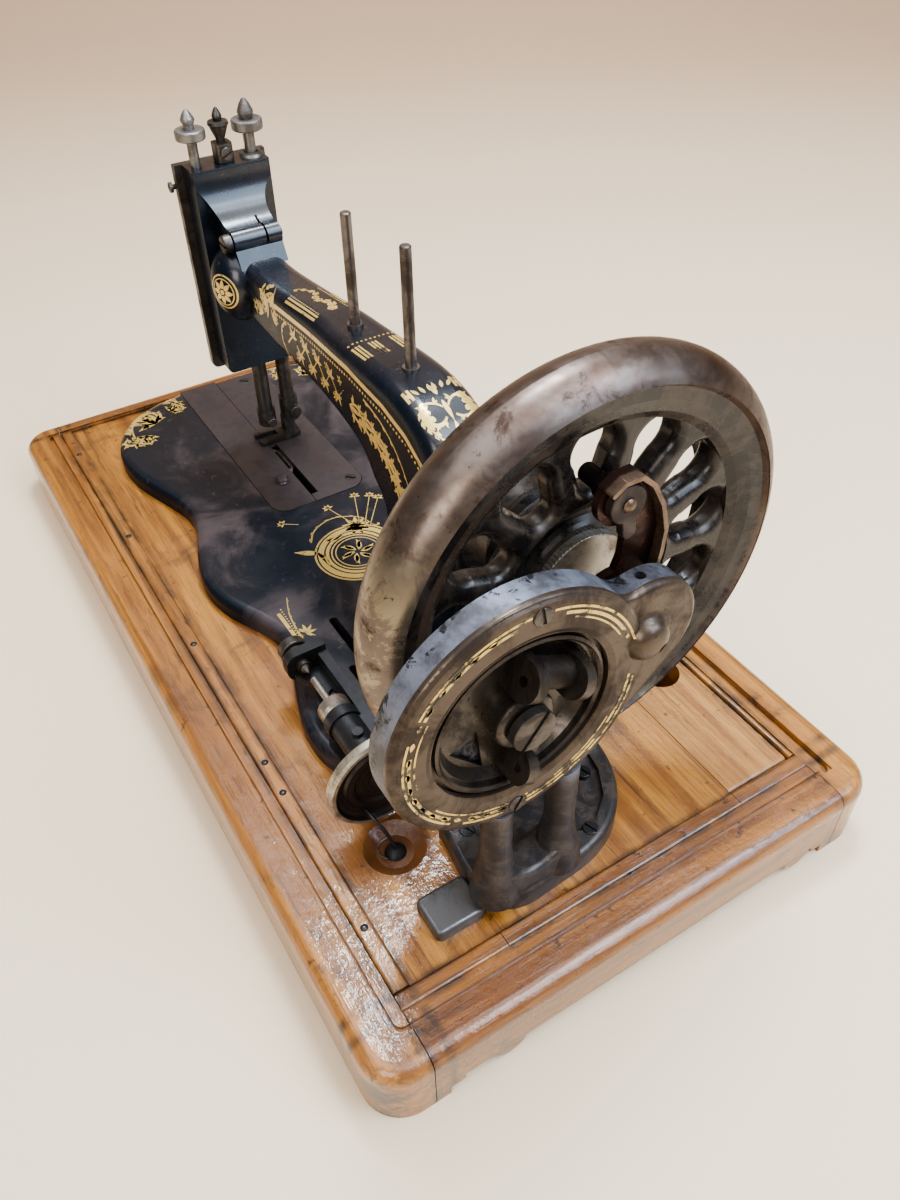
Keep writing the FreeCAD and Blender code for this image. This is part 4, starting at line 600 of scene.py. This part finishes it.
def pressed(source, place, direction):
    """Gives press(u, v), which adds a point just above the casting, and the list of those points."""
    tree = BVHTree.FromPolygons([v.co for v in source.vertices], [p.vertices[:] for p in source.polygons])
    vertices = []

    def press(u, v):
        hit, normal, _, _ = tree.ray_cast(Vector(place(u, v)) * MM, direction)
        if hit is None or normal.dot(-direction) < LEAST_FACING:
            return None
        vertices.append(hit + normal * LEAF_LIFT * MM)
        return len(vertices) - 1

    return press, vertices


def lay(name, shapes, node, place, cast, body, look):
    """Turns flat strokes into thin gilt strips that follow a casting's surface.

    place(u, v) gives a point outside the surface, and cast is the direction in which it is pressed on."""
    press, vertices = pressed(NODES[node].data, place, Vector(cast))
    faces = []
    for points, widths in shapes:
        previous = None
        for k, (u, v) in enumerate(points):
            u0, v0 = points[max(0, k - 1)]
            u1, v1 = points[min(len(points) - 1, k + 1)]
            length = math.hypot(u1 - u0, v1 - v0) or 1.0
            side_u, side_v = -(v1 - v0) / length * widths[k] / 2, (u1 - u0) / length * widths[k] / 2
            pair = (press(u + side_u, v + side_v), press(u - side_u, v - side_v))
            if previous and None not in pair and None not in previous:
                near = max((vertices[pair[0]] - vertices[previous[0]]).length,
                           (vertices[pair[1]] - vertices[previous[1]]).length)
                if near < LONGEST_STEP:
                    faces.append((previous[0], previous[1], pair[1], pair[0]))
            previous = pair
    mesh = bpy.data.meshes.new(name)
    mesh.from_pydata([tuple(v) for v in vertices], [], faces)
    mesh.validate()
    obj = new_object(name, mesh, look)
    thick = obj.modifiers.new("thickness", "SOLIDIFY")
    thick.thickness = LEAF_THICKNESS * MM
    thick.offset = 0.0
    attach(obj, body)


CURVE_STEPS = 6


def smooth_path(knots):
    """A curve through all the knots, with CURVE_STEPS points for each span."""
    path = []
    for k in range(len(knots) - 1):
        before, start = knots[max(0, k - 1)], knots[k]
        end, after = knots[k + 1], knots[min(len(knots) - 1, k + 2)]
        for step in range(CURVE_STEPS):
            t = step / CURVE_STEPS
            path.append(tuple(0.5 * (2 * b + (c - a) * t + (2 * a - 5 * b + 4 * c - d) * t * t
                                     + (3 * b - a - 3 * c + d) * t ** 3)
                              for a, b, c, d in zip(before, start, end, after)))
    path.append(knots[-1])
    return path


def heading_of(start, end):
    return math.degrees(math.atan2(end[1] - start[1], end[0] - start[0]))


def vine(knots, width, lobe, sides=(1,), curl=0.0, every=3):
    """A tapering stem through the knots, with leaf lobes along it and a curl at its end."""
    path = smooth_path(knots)
    out = [(path, [width * (1.0 - 0.7 * k / len(path)) for k in range(len(path))])]
    for k in range(1, len(path) - 1, every):
        heading = heading_of(path[k], path[k + 1])
        grow = lobe * (1.0 - 0.5 * k / len(path))
        for side in sides:
            out.append(leaf(*path[k], heading + side * 48, grow, grow * 0.42, -side * 50))
            out.append(leaf(*path[k], heading + side * 84, grow * 0.62, grow * 0.34, -side * 40))
    if curl:
        out += scroll(*path[-1], heading_of(path[-2], path[-1]), curl, sides[0], width * 0.7, 1.5, 0)
    return out


def spray(x, y, angle, size, side):
    """A branching corner spray of scrolls and leaves."""
    out = scroll(x, y, angle, size, side, size * 0.11, 1.3, 5)
    out += scroll(x, y, angle + side * 62, size * 0.72, -side, size * 0.09, 1.2, 4)
    out += scroll(x, y, angle - side * 70, size * 0.62, side, size * 0.08, 1.2, 4)
    for k in range(5):
        out.append(leaf(x, y, angle - 70 + 34 * k, size * 0.6, size * 0.18, 25))
    return out


def bars(x0, x1, places, width):
    return [line(x0, y, x1, y, width) for y in places]


def stem(x0, y0, x1, y1):
    """A thin stalk that ends in a small cross of petals."""
    angle = heading_of((x0, y0), (x1, y1))
    out = [line(x0, y0, x1, y1, 0.45)]
    out += [leaf(x1, y1, angle + turn, 3.0, 1.5) for turn in (-100, -45, 0, 45, 100)]
    return out


# Places outside the castings, from which gold leaf is pressed on, and the directions it is pressed in.
ABOVE_BED, ABOVE_ARM, IN_FRONT, BEYOND = 60, 230, -80, 230
DOWN, BACK, INWARD = (0, 0, -1), (0, 1, 0), (-1, 0, 0)
MEDALLION_X, MEDALLION_Y = -8.0, 0.0
MEDALLION_RINGS = ((21.4, 1.0), (18.6, 3.0), (15.4, 1.7), (13.2, 0.8), (11.2, 0.6))     # radius, width
BED_STEMS = ((-27, 11, -50, 20), (-27, 9, -48, 3), (-23, 15, -42, 30), (-25, 13, -46, 27),
             (-17, 20, -30, 38), (-44, -16, -49, -23), (-50, 40, -62, 46))


def bed_corner():
    out = spray(-178, -46, 205, 20, 1) + spray(-168, -55, 330, 13, -1) + spray(-186, -34, 110, 12, 1)
    return out + vine([(-166, -62), (-180, -60), (-191, -52), (-198, -40), (-199, -26)], 1.1, 4.0, (1,), 4)


def bed_medallion():
    out = [ring(MEDALLION_X, MEDALLION_Y, radius, width) for radius, width in MEDALLION_RINGS]
    for k in range(6):
        turn = 60 * k + 15
        along, side = math.cos(math.radians(turn)), math.sin(math.radians(turn))
        out.append(leaf(MEDALLION_X + 1.5 * along, MEDALLION_Y + 1.5 * side, turn, 8.5, 2.8, 50))
        out.append(leaf(MEDALLION_X + 3 * along, MEDALLION_Y + 3 * side, turn + 40, 6.0, 1.8, -40))
    out += vine([(-27, -17), (-35, -11), (-39, 1), (-33, 13), (-23, 17)], 0.9, 2.4, (1,), 3)
    out += [leaf(-17, -17, 235, 13, 3.6), leaf(-18, -18, 20, 14, 2.4, -30)]
    out.append(leaf(-24, -10, 70, 10, 2.4, 40))
    out += [leaf(-27, 9, 40 * k, 7.5, 2.8) for k in range(9)]
    for ends in BED_STEMS:
        out += stem(*ends)
    return out


def bed_border():
    out = vine([(33, -50.5), (24, -50.0), (14, -48.5), (4, -45)], 1.0, 2.0, (-1,), 0)
    out += [line(12, -53.0, 32, -52.6, 1.8)] + dotted(10, -50.9, 32, -51.2, 1.7, 0.4)
    return out + [leaf(30, -47.5, 20 + 45 * k, 5.5, 1.6, 30) for k in range(5)]


def gild_bed():
    def top(u, v):
        return (u, v, ABOVE_BED)

    corner = bed_corner()
    lay("bed_gilt_corner_front", corner, "bed", top, DOWN, "base", "gilt")
    lay("bed_gilt_corner_rear", mirrored(corner, SHAFT_Y), "bed", top, DOWN, "base", "gilt")
    lay("bed_gilt_medallion", bed_medallion(), "bed", top, DOWN, "base", "gilt")
    lay("bed_gilt_border", bed_border(), "bed", top, DOWN, "base", "gilt")


ARM_EDGE = ((-56, 154.5), (-20, 157.5), (20, 160.0), (50, 158.5), (68, 154.5), (82, 147.0))
GARLAND_Z, GARLAND_SWING = 144.5, 2.6
LEAF_RUN = ((20, 143, -5), (31, 143, -16), (42, 141, -28), (52, 136, -42), (60, 128, -55),
            (66, 118, -66), (70, 107, -74))   # x, z, heading of the scrolls down the pedestal


def arm_stripe():
    """The stripe along the arm's upper edge, with a row of dots below it."""
    out = []
    for (x0, z0), (x1, z1) in zip(ARM_EDGE, ARM_EDGE[1:]):
        out.append(line(x0, z0, x1, z1, 2.3))
        out += dotted(x0, z0 - 3.6, x1, z1 - 3.6, 2.3, 0.62)
    return out


def arm_head_spray():
    out = spray(-64, 150, 165, 11, -1) + spray(-60, 147, 20, 7, 1) + spray(-74, 143, 120, 8, 1)
    out += [leaf(-57, 157, 150 + 22 * k, 10 - k, 2.8, 25) for k in range(5)]
    return out + vine([(-44, 152), (-50, 147), (-51, 140), (-46, 134)], 0.9, 2.6, (1,), 4)


def arm_garland():
    """A wavy stalk with leaves and small flowers by turns above and below it."""
    knots = [(-44 + 6.5 * k, GARLAND_Z + (GARLAND_SWING if k % 2 else -GARLAND_SWING)) for k in range(10)]
    out = vine(knots, 0.9, 0.0, (), 0.0, 100)
    for k, (x, z) in enumerate(knots[1:-1]):
        side = 1 if k % 2 == 0 else -1
        for turn in (-70, -25, 25, 70):
            out.append(leaf(x, z, side * 90 + turn, 6.2 - abs(turn) * 0.03, 1.7, turn * 0.3))
        out += flower(x + 3.2, GARLAND_Z - side * 5.6, 2.3, 5)
    return out


def arm_leaf_run():
    out = []
    for k, (x, z, heading) in enumerate(LEAF_RUN):
        size = 12 - 0.6 * k
        out += scroll(x, z, heading + 48, size, -1, 1.35, 1.35, 5)
        out += scroll(x, z, heading - 48, size, 1, 1.35, 1.35, 5)
        out.append(leaf(x, z, heading, 11, 2.4, 10))
    return out + vine([(34, 153), (48, 150), (60, 143), (69, 132), (75, 118)], 0.9, 2.6, (-1,), 4)


def arm_top_panels():
    """Bars, dots and a vine between the head and the second spool pin."""
    out = bars(-46, -16, (-5.2, -3.6), 0.9) + bars(-36, -22, (12.6, 14.0), 0.9)
    out += dotted(-46, -2.2, -18, -2.2, 1.8, 0.4) + dotted(-46, 11.2, -18, 11.2, 1.8, 0.4)
    out += vine([(-18, 4.5), (-26, 7.5), (-34, 4.5), (-42, 7.5), (-50, 4.5)], 1.3, 4.4, (1, -1), 3)
    for y0 in (-5.5, 2.0, 11.5):
        out += bars(19, 31, (y0, y0 + 1.5, y0 + 3.0), 0.9)
    return out + dotted(16, -5.5, 16, 14.5, 2.0, 0.5)


def arm_crest():
    """Paired scrolls where the arm turns down behind the wheel."""
    out = bars(60, 66, (-6.0, -4.2, 14.2, 16.0), 1.1)
    for side in (1, -1):
        def across(y):
            return SHAFT_Y + side * y
        out += scroll(73, across(1.2), side * 150, 8.5, -side, 1.0, 1.45, 3)
        branch = [(69, across(7)), (74, across(10.5)), (80, across(9.5)), (85, across(6.5))]
        out += vine(branch, 1.1, 3.4, (side, -side), 4)
        out += scroll(77, across(2.0), side * 40, 6.5, side, 1.2, 1.3, 4)
        out += [leaf(64.5, across(1.0 + 2.6 * k), 175 - side * 16 * k, 4.2, 1.6) for k in range(4)]
        out.append(leaf(84, across(6), side * 20, 7, 2.0, -side * 30))
    out += [leaf(70, SHAFT_Y, 0, 9, 2.0), leaf(79, SHAFT_Y, 0, 12, 2.4)]
    return out + [leaf(67, SHAFT_Y, 180, 5, 2.0)]


BOSS_CENTRE, BOSS_GAP = Vector((-97.6, -16.5, 146.9)), 12
BOSS_OUT = Vector((0.39, -0.92, 0.04)).normalized()


def gild_boss():
    across = Vector((-BOSS_OUT.y, BOSS_OUT.x, 0)).normalized()

    def boss(u, v):
        return BOSS_CENTRE + BOSS_OUT * BOSS_GAP + across * u + Vector((0, 0, v))

    badge = [ring(0, 0, 8.0, 0.8), ring(0, 0, 6.4, 0.5)] + flower(0, 0, 5.8, 8) + [ring(0, 0, 2.6, 0.6)]
    lay("boss_gilt_medallion", badge, "arm_casting", boss, -BOSS_OUT, "base", "gilt")


def gild_arm():
    def front(u, v):
        return (u, IN_FRONT, v)

    def top(u, v):
        return (u, v, ABOVE_ARM)

    shapes = arm_stripe() + arm_head_spray() + arm_garland() + arm_leaf_run()
    lay("arm_gilt_front", shapes, "arm_casting", front, BACK, "base", "gilt")
    lay("arm_gilt_top", arm_top_panels() + arm_crest(), "arm_casting", top, DOWN, "base", "gilt")
    gild_boss()


CASE_STRIPES = (                              # radius, width, (start, sweep) of its arcs in degrees
    (41.6, 0.8, ((18, 62), (82, 66), (160, 70), (238, 66), (310, 44))),
    (39.7, 1.1, ((22, 50), (96, 52), (168, 60), (240, 76), (326, 30))),
    (37.9, 0.6, ((26, 40), (150, 40), (214, 60), (290, 40))))
CASE_LEAVES, CASE_LEAF_R = 18, 40


def gild_case():
    """Worn rings and a row of small leaves round the gear cover."""
    def face(u, v):
        return (BEYOND, u, v)

    shapes = []
    for radius, width, arcs in CASE_STRIPES:
        for start, sweep in arcs:
            shapes.append(ring(GEAR_Y, GEAR_Z, radius, width, start, sweep))
    for k in range(CASE_LEAVES):
        turn = 105 + 9.0 * k
        a = math.radians(turn)
        root = (GEAR_Y + CASE_LEAF_R * math.cos(a), GEAR_Z + CASE_LEAF_R * math.sin(a))
        shapes.append(leaf(*root, turn + 90, 3.2, 1.6))
    lay("case_gilt_lines", shapes, "case_cover", face, INWARD, "base", "gilt_worn")


# ---- small fittings that the frame leaves out ----
UP = Vector((0, 0, 1))
SIDE = UP.orthogonal().normalized()
OTHER = UP.cross(SIDE)
NAIL_PROFILE = ((1.5, -0.3), (1.5, 0.1), (1.1, 0.45), (0.4, 0.6))
NAIL_PLACES, NAIL_SIDES = (-185, -95, 0, 82, 100, 170), 12
WIRE_POINTS, WIRE_RADIUS = ((146, -66, 30), (141, -68, 37), (136, -70, 41), (131.5, -71, 42)), 0.7
HOOK_POINTS = ((147.5, -70.5, 27.0), (143.0, -72.0, 26.4), (139.0, -69.5, 26.3), (138.5, -66.0, 26.6))
HOOK_RADIUS = 0.5


def turned(name, profile, place, body, look, sides):
    """A turned upright piece: (radius, height) points about the place, in millimetres."""
    vertices, faces = [], []
    for radius, height in profile:
        for k in range(sides):
            a = 2 * math.pi * k / sides
            spoke = SIDE * math.cos(a) + OTHER * math.sin(a)
            vertices.append((Vector(place) + UP * height + spoke * radius) * MM)
    for row in range(len(profile) - 1):
        for k in range(sides):
            low, next_k = row * sides, (k + 1) % sides
            faces.append((low + k, low + next_k, low + sides + next_k, low + sides + k))
    faces.append(tuple(reversed(range(sides))))
    faces.append(tuple(range((len(profile) - 1) * sides, len(profile) * sides)))
    mesh = bpy.data.meshes.new(name)
    mesh.from_pydata([tuple(v) for v in vertices], [], faces)
    for polygon in mesh.polygons:
        polygon.use_smooth = len(polygon.vertices) == 4
    obj = new_object(name, mesh, look)
    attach(obj, body)


def wire(name, points, radius, body, look):
    """A bent wire through points in millimetres."""
    data = bpy.data.curves.new(name, "CURVE")
    data.dimensions = "3D"
    data.bevel_depth = radius * MM
    data.bevel_resolution = 3
    data.use_fill_caps = True
    spline = data.splines.new("BEZIER")
    spline.bezier_points.add(len(points) - 1)
    for knot, point in zip(spline.bezier_points, points):
        knot.co = Vector(point) * MM
        knot.handle_left_type = knot.handle_right_type = "AUTO"
    obj = new_object(name, data, look)
    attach(obj, body)


def add_nails():
    low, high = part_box("front_moulding")
    top = high.z / MM
    y = (low.y + high.y) / 2 / MM
    for k, x in enumerate(NAIL_PLACES):
        turned("moulding_nail_%d" % (k + 1), NAIL_PROFILE, (x, y, top), "base", "black", NAIL_SIDES)


FLOOR_FRONT, BEND_START, BEND_R, WALL_TOP, HALF_WIDTH = -3.0, 1.0, 1.2, 4.0, 4.0     # metres
BEND_STEPS = 12
FLOOR_AWAY = Vector((-0.858, 0.514, 0)).normalized()
# Painted shade: the floor's colour goes from the near colour to a darker far one towards the back.
FLOOR_LIT_NEAR, FLOOR_SHADED_FAR, FLOOR_PATCH = (0.74, 0.60, 0.43), (0.66, 0.46, 0.30), (0.60, 0.46, 0.32)
FLOOR_SHADE_FADE = 1.3


def floor_look():
    look = Look("pale_floor")
    far = look.add("ShaderNodeVectorMath", operation="DOT_PRODUCT")
    look.put(far.inputs[0], look.place)
    far.inputs[1].default_value = FLOOR_AWAY
    # Painted shade: the floor gets darker and warmer with distance towards the back, over the fade
    # distance.
    base = look.mix(look.step(far.outputs["Value"], 0.0, FLOOR_SHADE_FADE), FLOOR_LIT_NEAR, FLOOR_SHADED_FAR)
    tone = look.tint(base, look.noise(2.0, 3.0), 0.12, FLOOR_PATCH)
    look.set(Base_Color=tone, Roughness=0.75)
    return look.bump(look.noise(260.0, 3.0), 0.12, 0.0005)


def add_floor():
    """A plain pale sweep: flat under the machine, rising smoothly far behind it."""
    profile = [(FLOOR_FRONT, 0.0), (BEND_START, 0.0)]
    for k in range(1, BEND_STEPS + 1):
        a = math.radians(90.0 / BEND_STEPS * k)
        profile.append((BEND_START + math.sin(a) * BEND_R, BEND_R - math.cos(a) * BEND_R))
    profile.append((BEND_START + BEND_R, WALL_TOP))
    across = Vector((FLOOR_AWAY.y, -FLOOR_AWAY.x, 0))
    vertices, faces = [], []
    for distance, height in profile:
        for side in (-HALF_WIDTH, HALF_WIDTH):
            vertices.append(FLOOR_AWAY * distance + across * side + Vector((0, 0, height)))
    for k in range(len(profile) - 1):
        faces.append((2 * k, 2 * k + 1, 2 * k + 3, 2 * k + 2))
    mesh = bpy.data.meshes.new("floor")
    mesh.from_pydata([tuple(v) for v in vertices], [], faces)
    for polygon in mesh.polygons:
        polygon.use_smooth = True
    look = floor_look()
    obj = bpy.data.objects.new("floor", mesh)
    mesh.materials.append(look)
    bpy.context.scene.collection.objects.link(obj)


add_camera()
add_lights()
dress_nodes()
gild_bed()
gild_arm()
gild_case()
add_nails()
wire("recess_wire", WIRE_POINTS, WIRE_RADIUS, "base", "black")
wire("recess_hook", HOOK_POINTS, HOOK_RADIUS, "base", "steel")
add_floor()
bpy.context.scene.view_settings.view_transform = "AgX"
bpy.context.scene.view_settings.look = "AgX - Medium High Contrast"
